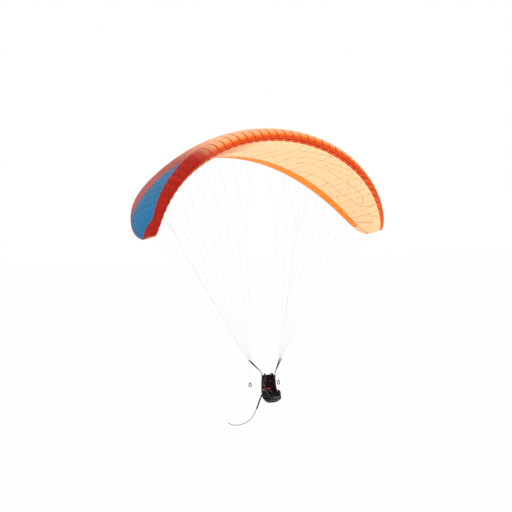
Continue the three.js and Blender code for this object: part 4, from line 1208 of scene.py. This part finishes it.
def ladder_lock(build, at, along, across, width, slot, wire=0.0022):
    """A strap adjuster: a rounded frame with a bar across its middle."""
    along, across, up = square_to(along, across)
    centre = at + up * 0.0058
    w, h, corner = width / 2 + 0.004, 0.015, 0.005
    outline = []
    for i, j in ((1, 1), (-1, 1), (-1, -1), (1, -1)):
        for t in np.radians((10, 45, 80)):
            c, q = (math.cos(t), math.sin(t)) if i * j > 0 else (math.sin(t), math.cos(t))
            aside, ahead = i * (w - corner + corner * c), j * (h - corner + corner * q)
            outline.append(centre + across * aside + along * ahead)
    build.add(*tube(outline, wire, 8, closed=True), slot)
    build.add(*tube([centre - across * w, centre + across * w], wire * 0.95, 8), slot)


def make_shoulder_strap(side):
    sign = SIDES[side]
    build = Build()
    bar = from_hang((0.250, 0, 0), sign)
    start = bar_loop(build, bar, -Z_AXIS)
    neck = from_hang((0.249, -0.001, -0.045), sign)
    build.add(*band([start, lerp(start, neck, 0.5), neck], WEB_W, 2.2 * WEB_T, X_AXIS))
    down = smooth_path([neck] + [from_hang(offset, sign) for offset in SIDE_BRANCH], 60)
    build.add(*band(down, np.interp(np.arange(60), [0, 8], [0.022, 0.034]), WEB_T, Y_AXIS))
    over = smooth_path([from_hang(offset, sign) for offset in SHOULDER_BRANCH], 60)
    grow = np.interp(np.arange(60), [0, 9, 60], [0.016, 0.038, 0.038])
    build.add(*band(over, grow, 0.005, X_AXIS))
    for k in (4, 30):
        stitch_box(build, *at_step(down, k), Y_AXIS, 0.032, 0.022, 1)
    stitch_box(build, *at_step(over, 34), X_AXIS, 0.036, 0.028, 1, 0.0029)
    for k in (20, 40, 52) if side == "left" else (24,):
        keeper(build, *at_step(down, k), Y_AXIS, 0.034, 2, 0.0035)
    ladder_lock(build, *at_step(over, 18), X_AXIS, 0.038, 3)
    # the free end of the shoulder strap hangs from its adjuster
    tail = over[18] + np.array([(sign * 0.004 * k, -0.010 - 0.001 * k, -0.030 * k) for k in range(5)])
    build.add(*band(smooth_path(tail, 20), 0.020, 0.0018, X_AXIS), 4)
    piece = build.piece(f"shoulder_webbing_{side}", [BLACK_WEB, LINE_GREY, BLUE_WEB, STEEL, GREY_WEB])
    settle(piece, "harness", "webbing", f"shoulder_strap_{side}")


def make_leg_strap(side):
    sign = SIDES[side]
    build = Build()
    path = smooth_path([from_hang(offset, sign) for offset in LEG_STRAP], 60)
    build.add(*band(path, 0.044, 0.006, X_AXIS))
    build.add(*band(path[24:44] + (0, 0, 0.0035), 0.025, 0.0024, X_AXIS), 4)
    ladder_lock(build, *at_step(path, 24), X_AXIS, 0.030, 3)
    stitch_box(build, *at_step(path, 52), X_AXIS, 0.030, 0.034, 1, 0.0034)
    stitch_box(build, *at_step(path, 6), X_AXIS, 0.030, 0.034, 1, 0.0034)
    piece = build.piece(f"leg_webbing_{side}", [BLACK_WEB, LINE_GREY, BLUE_WEB, STEEL, GREY_WEB])
    settle(piece, "harness", "webbing", f"leg_strap_{side}")


CHEST_Y, CHEST_Z = -0.086, -0.150


def make_chest_strap():
    for side, sign in SIDES.items():
        build = Build()
        inner = 0.026 if side == "left" else 0.024
        offsets = [(.228, CHEST_Y - .014, CHEST_Z), (.190, CHEST_Y + .026, CHEST_Z), (.110, CHEST_Y, CHEST_Z),
                   (.060, CHEST_Y, CHEST_Z), (inner, CHEST_Y, CHEST_Z)]
        path = smooth_path([from_hang(offset, sign) for offset in offsets], 50)
        build.add(*band(path, 0.024, WEB_T, Z_AXIS))
        stitch_box(build, *at_step(path, 8), Z_AXIS, 0.026, 0.018, 1)
        if side == "left":
            stitch_box(build, *at_step(path, 43), Z_AXIS, 0.018, 0.018, 1)
            socket = superbox(from_hang((-0.004, CHEST_Y, CHEST_Z)), (0.023, 0.0065, 0.019), 5, 28, 16)
            build.add(*socket, 3)
            for face in (-1, 1):
                button = from_hang((0.002, CHEST_Y + face * 0.0062, CHEST_Z))
                build.add(*superbox(button, (0.007, 0.0012, 0.007), 2.2, 20, 10), 2)
        piece = build.piece(f"chest_webbing_{side}", [BLACK_WEB, LINE_GREY, RED_WEB, BLACK_PLASTIC])
        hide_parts(f"chest_strap_{side}")
        if side == "left":
            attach(piece, "harness")
        else:
            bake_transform(piece)


def superbox(centre, half, power, around=40, rows=24):
    """A box with rounded edges and crowned faces."""
    turn = np.arange(around) * 2 * math.pi / around
    rise = np.linspace(-math.pi / 2, math.pi / 2, rows)
    ring = np.stack([rounded(np.cos(turn), 2 / power), rounded(np.sin(turn), 2 / power)], 1)
    points = []
    for r in rise:
        c = max(abs(math.cos(r)) ** (2 / power), 0.02)
        level = np.full((around, 1), rounded(math.sin(r), 2 / power))
        points.append(np.concatenate([ring * c, level], 1))
    points = np.array(points) * np.asarray(half) + centre
    return points.reshape(-1, 3), swept_faces(rows, around)


# ---------------------------------------------------------------- hardware
def make_hardware(side):
    sign = SIDES[side]
    centre = from_hang((0.250, 0, CARABINER_H / 2 - BAR_RADIUS), sign)
    bend = CARABINER_W / 2 - BAR_RADIUS
    gate_x = -sign * bend
    straight = CARABINER_H / 2 - BAR_RADIUS - bend
    outline = [(gate_x, straight + 0.0004)]
    for middle, first in ((straight, 0), (-straight, 180)):
        for t in np.radians(np.linspace(first, first + 180, 22)):
            outline.append((gate_x * math.cos(t), middle + bend * math.sin(t)))
    outline.append((gate_x, -straight - 0.0004))
    path = centre + np.array([(x, 0, z) for x, z in outline])
    body = Build().add(*tube(path, BAR_RADIUS, 16)).piece(f"carabiner_body_{side}", [ALLOY])
    settle(body, "canopy", "alloy", f"carabiner_{side}")
    # screw sleeve on the gate, with grip ribs round it
    stops = [(-.0204, .0036), (-.0200, .0042), (-.0080, .0042), (-.0078, .0044)]
    stops += [(-.0076 + .0011 * k, .0044 if k % 2 else .00415) for k in range(22)]
    stops += [(.0168, .0044), (.0170, .0040), (.0226, .0040), (.0230, .0034)]
    gate_path = centre + np.array([(gate_x, 0, z) for z, _ in stops])
    gate = Build().add(*tube(gate_path, [r for _, r in stops], 20)).piece(f"carabiner_sleeve_{side}", [STEEL])
    settle(gate, f"gate_{side}", "alloy", f"carabiner_gate_{side}")
    for row, shift in ROW_Y.items():
        middle = mirrored(RISER_TOP, sign) + (0, shift, 0)
        radius = 0.0075 - MAILLON_WIRE
        reach = MAILLON_HEIGHT / 2 - MAILLON_WIRE - radius
        oval = []
        for t in np.radians(np.linspace(0, 360, 36, endpoint=False)):
            end = reach if math.sin(t) > 0 else -reach
            oval.append((radius * math.cos(t), 0, radius * math.sin(t) + end))
        link = Build().add(*tube(middle + np.array(oval), MAILLON_WIRE, 12, closed=True))
        nut = middle + np.array([(-sign * radius, 0, z) for z in (-.0052, -.0050, .0050, .0052)])
        link.add(*tube(nut, [.0024, .0030, .0030, .0024], 6))
        link.add(*superbox(middle - (0, 0, 0.0098), (0.0108, 0.0055, 0.0105), 3.5, 28, 16), 1)
        link = link.piece(f"maillon_link_{row}_{side}", [STEEL, BLACK_PLASTIC])
        settle(link, "canopy", "steel", f"maillon_{row}_{side}")


def make_sheave(side):
    """The brake pulley's wheel, with a groove for the line; the profile is (radius, height)."""
    centre, _ = middle_and_half(f"brake_sheave_{side}")
    axis = np.array(joint_named(f"brake_sheave_{side}")["axis"], float)
    axis = unit(axis)
    across = np.cross(axis, Z_AXIS)
    flange = [(.0085, .0030), (.0090, .0026), (.0086, .0018), (.0076, .0006)]
    profile = [(.0021, -.0028), (.0021, .0028)] + flange + [(r, -h) for r, h in flange[::-1]]
    turn = np.arange(40) * 2 * math.pi / 40
    ring = np.cos(turn)[:, None] * across + np.sin(turn)[:, None] * Z_AXIS
    points = np.stack([centre + ring * r + axis * h for r, h in profile], 1)
    faces = swept_faces(len(points), len(profile), closed=True)
    wheel = Build().add(points, faces).piece(f"brake_wheel_{side}", [BLACK_PLASTIC])
    settle(wheel, f"sheave_{side}", "hard_plastic", f"brake_sheave_{side}")


TOGGLE_HALF, TOGGLE_WIRE, TOGGLE_HEIGHT = 0.0525, 0.0075, 0.170
TOGGLE_DEEP, TOGGLE_THICK = 0.032, 0.020


def make_toggle(side):
    top = mirrored(PULLEY, SIDES[side]) - (0, 0, HAND_LINE)
    radius = TOGGLE_HALF - TOGGLE_WIRE
    low = TOGGLE_HALF - TOGGLE_HEIGHT
    arc = [(radius * math.cos(t), low + radius * math.sin(t)) for t in np.radians(np.linspace(180, 360, 17))]
    half = [(-.004, -.043), (-.019, -.056), (-.036, -.082)]
    outline = half + arc + [(-x, z) for x, z in half[::-1]]
    path = smooth_path([top + (x, 0, z) for x, z in outline], 80, closed=True)
    build = Build().add(*band(path, TOGGLE_DEEP, TOGGLE_THICK, Y_AXIS, closed=True, rounding=0.8))
    build.add(*tube([top + (0, 0, z) for z in (-.0006, -.004, -.020, -.036, -.046)],
                    [.0040, .0066, .0078, .0088, .0076], 14))
    for side_on in (-1, 1):
        build.add(*tube(path + (0, side_on * (TOGGLE_DEEP / 2 + 0.0002), 0), 0.0007, 4, closed=True), 1)
    build.add(*superbox(top - (0, 0.0078, 0.022), (0.0048, 0.0022, 0.0048), 2.2, 20, 12), 2)
    piece = build.piece(f"brake_handle_{side}", [BLACK_WEB, RED_WEB, STEEL])
    settle(piece, f"toggle_{side}", "webbing", f"brake_toggle_{side}")


# ---------------------------------------------------------------- padded cloth
def inflate(piece, voxel, cap, seams):
    """Blows the piece up as cloth held along its seams, then smooths it once."""
    bpy.context.view_layer.objects.active = piece
    remesh = piece.modifiers.new("even", "REMESH")
    remesh.mode, remesh.voxel_size = "VOXEL", voxel
    bpy.ops.object.modifier_apply(modifier="even")
    mesh = piece.data
    rest = np.zeros(len(mesh.vertices) * 3, np.float32)
    mesh.vertices.foreach_get("co", rest)
    rest = rest.reshape(-1, 3)
    cloth = piece.modifiers.new("blow", "CLOTH")
    settings = cloth.settings
    settings.use_pressure, settings.uniform_pressure_force = True, 4.0
    settings.effector_weights.gravity = 0
    settings.quality = 4
    group = piece.vertex_groups.new(name="seams")
    for index, weight in enumerate(seams(rest)):
        if weight > 0.02:
            group.add([index], float(weight), "REPLACE")
    settings.vertex_group_mass = "seams"
    scene = bpy.context.scene
    for number in range(1, 21):
        scene.frame_set(number)
    moved = piece.evaluated_get(bpy.context.evaluated_depsgraph_get())
    blown = np.zeros(len(rest) * 3, np.float32)
    moved.data.vertices.foreach_get("co", blown)
    shift = blown.reshape(-1, 3) - rest
    size = np.linalg.norm(shift, axis=1)[:, None]
    shift *= np.minimum(1, cap / np.maximum(size, 1e-9))
    piece.modifiers.remove(cloth)
    scene.frame_set(1)
    mesh.vertices.foreach_set("co", (rest + shift).ravel())
    mesh.update()
    mesh.polygons.foreach_set("use_smooth", np.ones(len(mesh.polygons), bool))
    smooth = piece.modifiers.new("soft", "SUBSURF")
    smooth.levels = smooth.render_levels = 1


def two_sided(grid, thickness, puff=None):
    """A closed sheet round a grid of points; puff pushes the inner face further in."""
    rows, columns = grid.shape[:2]
    normal = np.cross(np.gradient(grid, axis=0), np.gradient(grid, axis=1))
    normal /= np.maximum(np.linalg.norm(normal, axis=-1), 1e-9)[..., None]
    push = np.zeros((rows, columns)) if puff is None else puff
    outer = grid + normal * thickness / 2
    inner = grid - normal * (thickness / 2 + push)[..., None]
    points = np.concatenate([outer.reshape(-1, 3), inner.reshape(-1, 3)])
    half = rows * columns
    faces = grid_faces(rows, columns)
    faces += [tuple(v + half for v in face[::-1]) for face in grid_faces(rows, columns)]
    border = [j for j in range(columns)] + [i * columns + columns - 1 for i in range(1, rows)]
    border += [(rows - 1) * columns + j for j in range(columns - 2, -1, -1)]
    border += [i * columns for i in range(rows - 2, 0, -1)]
    for a, b in zip(border, border[1:] + border[:1]):
        faces.append((b, a, a + half, b + half))
    return points, faces


# ---------------------------------------------------------------- harness
SEAT_BACK, SEAT_HALF, SHELL_T = 0.026, 0.190, 0.022
INNER_PROFILE = [(.050, .035), (.078, -.120), (.098, -.330), (.092, -.520), (.040, -.622), (-.060, -.650),
                 (-.220, -.652), (-.350, -.640)]
RIM = [(.030, .030), (-.030, -.110), (-.085, -.240), (-.125, -.340), (-.165, -.430), (-.225, -.500),
       (-.300, -.550), (-.362, -.590)]
RIM_HALF = [(.030, .206), (-.110, .230), (-.240, .220), (-.340, .210), (-.430, .206), (-.590, .204)]
SHELL_ROWS = 90
SHELL_CORNER = (0.030, 0.022)                # how far the corner from back to flank reaches across and deep
SHELL_WALL, QUILT_PUFF, CHANNEL = 0.010, 0.009, 0.075
UPRIGHT_SEAMS = (0.075, 0.185)               # seams of the quilting that run up the back


def profile_line(points, count):
    return smooth_path([from_hang((0, y + SEAT_BACK, z)) for y, z in points], count)


def behind(line, distance):
    along = np.gradient(line, axis=0)
    along = unit(along)
    distance = np.broadcast_to(distance, (len(line),))[:, None]
    return line + np.stack([np.zeros(len(line)), -along[:, 2], along[:, 1]], 1) * distance


def flank(t, level):
    """Half width of the shell, from its back edge, t = 0, to its rim, t = 1."""
    low_to_high = np.array(RIM_HALF[::-1])
    rim = np.interp(level - HANG_POINT[2], low_to_high[:, 0], low_to_high[:, 1])
    return lerp(SEAT_HALF + SHELL_T / 2, rim, t ** 2) + 0.003 * np.sin(math.pi * t)


def make_shell():
    back = behind(profile_line(INNER_PROFILE, SHELL_ROWS), SHELL_T / 2)
    rim = profile_line(RIM, SHELL_ROWS)
    half = SEAT_HALF + SHELL_T / 2
    columns = []
    for t in np.linspace(1, 0.08, 14):
        run = lerp(back, rim, t)
        columns.append(run * (0, 1, 1) - flank(t, run[:, 2])[:, None] * X_AXIS)
    for t in np.radians(np.linspace(160, 90, 5)):
        aside = SHELL_CORNER[0] * (1 + math.cos(t)) - half
        columns.append(behind(back, SHELL_CORNER[1] * (math.sin(t) - 1)) + aside * X_AXIS)
    left = np.array(columns)
    middle = np.array([back + x * X_AXIS for x in np.linspace(-half + 0.05, half - 0.05, 22)])
    grid = np.concatenate([left, middle, left[::-1] * (-1, 1, 1)]).transpose(1, 0, 2)
    run = np.concatenate([[0], np.cumsum(np.linalg.norm(np.diff(back, axis=0), axis=1))])
    sewn = np.abs(np.sin(math.pi * run / CHANNEL)) ** 0.45
    x = grid[..., 0]
    upright = np.minimum(*(np.abs(np.abs(x) - seam) for seam in UPRIGHT_SEAMS)) / 0.02
    puff = QUILT_PUFF * sewn[:, None] * np.clip(upright, 0, 1) ** 0.5
    puff[np.abs(x) > 0.192] *= 0.3           # the flanks are quilted less
    build = Build().add(*two_sided(grid[:, ::-1], SHELL_WALL, puff))
    rows, across = grid.shape[:2]
    one_face = (rows - 1) * (across - 1)
    build.slots = [int(one_face <= index < 2 * one_face) for index in range(len(build.slots))]
    shell = build.piece("harness_body", [PROTECTOR, PACK_DARK_RED])
    settle(shell, "harness", "harness_cloth", "harness_shell")
    trim = Build()
    for edge in (grid[:, 0], grid[:, -1], grid[0], grid[-1]):
        trim.add(*tube(edge, 0.0062, 8))
    trim = trim.piece("harness_binding", [GREY_WEB])
    settle(trim, "harness", "webbing")
    return back, rim


def make_side_details(back, rim):
    """Sewn-on red stripes with a plain badge, grey tapes with adjusters, and a daisy chain inside the rim."""
    def across_flank(drop, sign, count):
        level = HANG_POINT[2] - drop
        rear = back[int(np.argmin(np.abs(back[:60, 2] - level)))]
        front = rim[int(np.argmin(np.abs(rim[:, 2] - level)))]
        t = np.linspace(0.02, 0.97, count)
        run = rear + (front - rear) * t[:, None]
        return run * (0, 1, 1) + (sign * (flank(t, run[:, 2]) + 0.0075))[:, None] * X_AXIS

    for side, sign in SIDES.items():
        build = Build()
        run = across_flank(0.415, sign, 30)
        build.add(*band(run, 0.026, 0.003, Z_AXIS), 0)
        build.add(*superbox(run[16] + (sign * 0.002, 0, 0), (0.0022, 0.032, 0.011), 4, 24, 16), 1)
        build.add(*superbox(run[21] + (sign * 0.003, 0, 0), (0.0022, 0.012, 0.009), 4, 20, 12), 2)
        for drop in (0.10, 0.24):
            run = across_flank(drop, sign, 24)
            build.add(*band(run, 0.020, 0.0024, Z_AXIS), 3)
            ladder_lock(build, run[14] + (sign * 0.001, 0, 0), run[15] - run[14], Z_AXIS, 0.020, 4, 0.0016)
        # a daisy chain of short loops inside the rim
        for k in range(9):
            run = across_flank(0.06 + 0.042 * k, sign, 60)[44:57] - (sign * 0.0170, 0, 0)
            run -= (sign * 0.004 * np.sin(np.linspace(0, math.pi, 13)))[:, None] * X_AXIS
            build.add(*band(run, 0.014, 0.002, Z_AXIS), 3)
        piece = build.piece(f"flank_tapes_{side}", [RED_WEB, LINE_BEIGE, SEAM_ORANGE, GREY_WEB, STEEL])
        settle(piece, "harness", "webbing")


def make_back_stripe():
    """A red stripe across the inside of the back, with a plain two-coloured badge."""
    line = profile_line(INNER_PROFILE, 400)
    row = int(np.argmin(np.abs(line[:300, 2] - (HANG_POINT[2] - 0.402))))
    at = behind(line, -0.010)[row]
    build = Build()
    x = np.linspace(-0.176, 0.176, 60)
    sway = 0.006 * np.sin(np.linspace(0, 5 * math.pi, 60))
    build.add(*band(np.stack([x, np.full(60, at[1]), at[2] + sway], 1), 0.030, 0.003, Z_AXIS), 0)
    build.add(*superbox(at + (0.070, -0.002, 0), (0.030, 0.0022, 0.013), 4, 24, 16), 1)
    build.add(*superbox(at + (0.118, -0.003, 0.002), (0.016, 0.0022, 0.012), 4, 20, 12), 2)
    piece = build.piece("back_stripe", [RED_WEB, LINE_BEIGE, SEAM_ORANGE])
    settle(piece, "harness", "webbing")


PIPING_SIDE, PIPING_RISE = 0.88, 0.76        # where the piping runs on the pad's corner
PROTECTOR_PROFILE = INNER_PROFILE + [(-.366, -.612), (-.370, -.572)]
PAD_GAP = SHELL_T + 0.005                    # from the shell's lining to the pad's front face
PAD_THIN, PAD_SWELL, PAD_FULLEST, PAD_SPREAD = 0.022, 0.120, 0.73, 0.22
PAD_HALF = SEAT_HALF - 0.018
PAD_CHANNELS, PAD_SPINE = np.array((0.22, 0.42, 0.60, 0.80)), 0.085


def make_protector():
    around = 56
    line = profile_line(PROTECTOR_PROFILE, 181)[28::2]       # the pad starts below the shoulders
    s = np.linspace(0, 1, len(line))
    ends = np.clip(np.minimum(s, 1 - s) / 0.06, 0, 1) ** 0.5
    depth = (PAD_THIN + PAD_SWELL * np.exp(-(((s - PAD_FULLEST) / PAD_SPREAD) ** 2))) * (0.25 + 0.75 * ends)
    middle = behind(line, PAD_GAP + depth / 2)
    reach = behind(line, PAD_GAP + depth) - middle
    width = PAD_HALF * (0.90 + 0.10 * ends)
    turn = np.arange(around) * 2 * math.pi / around
    aside, out = (rounded(wave(turn), 0.55)[None, :, None] for wave in (np.cos, np.sin))
    points = middle[:, None] + reach[:, None] * out + width[:, None, None] * aside * X_AXIS
    pad = Build().add(points, swept_faces(len(line), around)).piece("protector_pad", [PROTECTOR])
    lines = behind(line, SHELL_T + 0.06)

    def seams(rest):
        near = np.abs(rest[:, None, 1:] - lines[None, ::2, 1:]).sum(-1).argmin(1) * 2
        share = near / (len(line) - 1)
        rows_at = np.min(np.abs(share[:, None] - PAD_CHANNELS), 1) / 0.012
        spine = np.abs(np.abs(rest[:, 0]) - PAD_SPINE) / 0.006
        rim_line = np.abs(np.abs(rest[:, 0]) - PAD_HALF * PIPING_SIDE) / 0.012
        return np.clip(1.2 - np.minimum(np.minimum(rows_at, spine), rim_line), 0, 1)

    inflate(pad, 0.007, 0.010, seams)
    settle(pad, "harness", "foam_pad", "back_protector")
    piping = Build()
    for sign in (-1, 1):
        path = middle + reach * PIPING_RISE + sign * (width * PIPING_SIDE)[:, None] * X_AXIS
        piping.add(*tube(smooth_path(path[2:58:4], 90), 0.0040, 8))
    piping = piping.piece("protector_piping", [RED_WEB])
    settle(piping, "harness", "webbing")


def make_seat():
    """A thin cloth pocket round the seat board, open at the rear, sewn along its edges."""
    low, high = (np.array(corner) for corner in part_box("seat_board"))
    build = Build()
    left, right = low[0] - 0.002, high[0] + 0.002
    front, rear = low[1] - 0.002, high[1] - 0.012
    for z, ripple in ((high[2] + 0.0016, 0.0007), (low[2] - 0.0012, 0)):
        grid = np.meshgrid(np.linspace(left, right, 30), np.linspace(front, rear, 24), indexing="ij")
        grid = np.stack(grid, -1)
        wave = ripple * np.sin(grid[..., 0] * 60) * np.sin(grid[..., 1] * 45)
        sheet = np.concatenate([grid, (z + wave)[..., None]], -1)
        build.add(*two_sided(sheet, 0.0014))
    edge = [(left, rear), (left, front), (right, front), (right, rear)]
    middle = (low[2] + high[2]) / 2
    path = [(*edge[0], middle)]
    for a, b in zip(edge, edge[1:]):
        path += [(*lerp(np.array(a), np.array(b), t), middle) for t in np.arange(1, 13) / 12]
    build.add(*band(path, 0.0132, 0.0018, Z_AXIS))
    pocket = build.piece("seat_pocket", [PACK_BLACK])
    settle(pocket, "harness", "harness_cloth")
    dress("seat_board", BOARD, 0.003)


SLACK_POUCH = (0.88, 0.94, 0.95)      # the pouch before it swells, as shares of its CAD box


def make_reserve():
    centre, half = middle_and_half("reserve_container")
    pouch = Build().add(*superbox(centre, half * SLACK_POUCH, 3.0, 44, 30))
    pouch = pouch.piece("reserve_pouch", [PACK_BLACK])

    def seams(rest):
        place = (rest - centre) / half
        upright, level = np.abs(place[:, 0] + 0.1) / 0.10, np.abs(place[:, 2] - 0.35) / 0.05
        return np.clip(1.2 - np.minimum(upright, level), 0, 1)

    inflate(pouch, 0.0045, 0.007, seams)
    settle(pouch, "harness", "harness_cloth", "reserve_container")
    build = Build()
    turn = np.linspace(0, 2 * math.pi, 60, endpoint=False)
    ring = np.stack([np.full(60, centre[0] - 0.004), centre[1] + half[1] * 0.97 * rounded(np.cos(turn), 0.62),
                     centre[2] + half[2] * 0.97 * rounded(np.sin(turn), 0.62)], 1)
    build.add(*tube(ring, 0.0028, 8, closed=True))
    yy, zz = np.meshgrid(np.linspace(-0.05, 0.05, 14), np.linspace(0.02, 0.085, 12), indexing="ij")
    out = half[0] * (1.0 - 0.35 * (yy / 0.074) ** 2 - 0.55 * (zz / 0.122) ** 2)
    flap = np.stack([centre[0] + out + 0.001, centre[1] + yy, centre[2] + zz], -1)
    build.add(*two_sided(flap, 0.003), 1)
    for z in (0.034, 0.070):
        pin = centre + (half[0] * (1.0 - 0.55 * (z / 0.122) ** 2) + 0.003, 0, z)
        build.add(*superbox(pin, (0.0018, 0.016, 0.0022), 2.5, 16, 10), 2)
    piece = build.piece("reserve_closure", [RED_WEB, PACK_DARK_RED, STEEL])
    settle(piece, "harness", "harness_cloth")


def make_reserve_grip():
    centre, half = middle_and_half("reserve_handle")
    flat, radius = half[1] - half[2], half[2] - 0.0068
    oval = []
    for t in np.linspace(0, 2 * math.pi, 44, endpoint=False):
        y = radius * math.cos(t) + math.copysign(flat, math.cos(t))
        oval.append(centre + (0, y, radius * math.sin(t)))
    grip = Build().add(*band(oval, 0.011, 0.0125, X_AXIS, closed=True, rounding=0.8))
    for face in (-0.0058, 0.0058):
        grip.add(*tube(np.array(oval) + (face, 0, 0), 0.0006, 4, closed=True), 1)
    grip = grip.piece("reserve_grip_loop", [RED_WEB, LINE_BEIGE])
    settle(grip, "reserve_grip", "red_cloth", "reserve_handle")


def dress(node, material, edge):
    """A CAD node that stays gets its material and rounded edges."""
    kept = frame["nodes"][node]
    kept.data.materials.clear()
    kept.data.materials.append(material)
    bevel = kept.modifiers.new("edges", "BEVEL")
    bevel.width, bevel.segments, bevel.limit_method = edge, 3, "ANGLE"


def make_harness():
    back, rim = make_shell()
    make_side_details(back, rim)
    make_back_stripe()
    make_protector()
    make_seat()
    make_reserve()
    make_reserve_grip()
    make_chest_strap()
    dress("chest_tongue", BLACK_PLASTIC, 0.001)
    for side in SIDES:
        make_riser(side)
        make_shoulder_strap(side)
        make_leg_strap(side)
        make_hardware(side)
        make_sheave(side)
        make_toggle(side)
        dress(f"brake_pulley_{side}", STEEL, 0.0006)


make_harness()


# ---------------------------------------------------------------- floor, light and size
FLOOR_Z, FLOOR_HALF = -20.0, 900
SKY, KEY_LIGHT, KEY_TILT = 1.0, 1.5, math.radians(40)
LAMPS = [("key", KEY_LIGHT, KEY_TILT, -40), ("fill", 0.9, math.radians(148), -30)]


def make_stage():
    g = Graph("floor_white")
    where = g.coordinates()
    # pale enough to give back as much light as the sky behind it
    pale = 1.0 / (SKY + KEY_LIGHT * math.cos(KEY_TILT) / math.pi)
    tone = g.mix(g.noise(where, 0.4), (pale, pale, pale, 1), (pale * 0.985,) * 3 + (1,))
    g.finish(tone, 0.9, specular=0.0)
    corners = [(x * FLOOR_HALF, y * FLOOR_HALF, FLOOR_Z) for x, y in ((-1, -1), (1, -1), (1, 1), (-1, 1))]
    floor = new_piece("floor", corners, [(0, 1, 2, 3)], [g.material], smooth=False)
    world = bpy.data.worlds.new("studio")
    world.use_nodes = True
    sky = world.node_tree.nodes["Background"]
    sky.inputs[0].default_value = (1, 1, 1, 1)
    sky.inputs[1].default_value = SKY
    bpy.context.scene.world = world
    floor.visible_shadow = False
    for name, energy, tilt, turn in LAMPS:
        lamp = bpy.data.lights.new(name, "SUN")
        lamp.energy = energy
        lamp.angle = math.radians(25)
        light = bpy.data.objects.new(name, lamp)
        light.rotation_euler = (tilt, 0, math.radians(turn))
        bpy.context.scene.collection.objects.link(light)
    bpy.context.scene.view_settings.view_transform = "Standard"


make_stage()
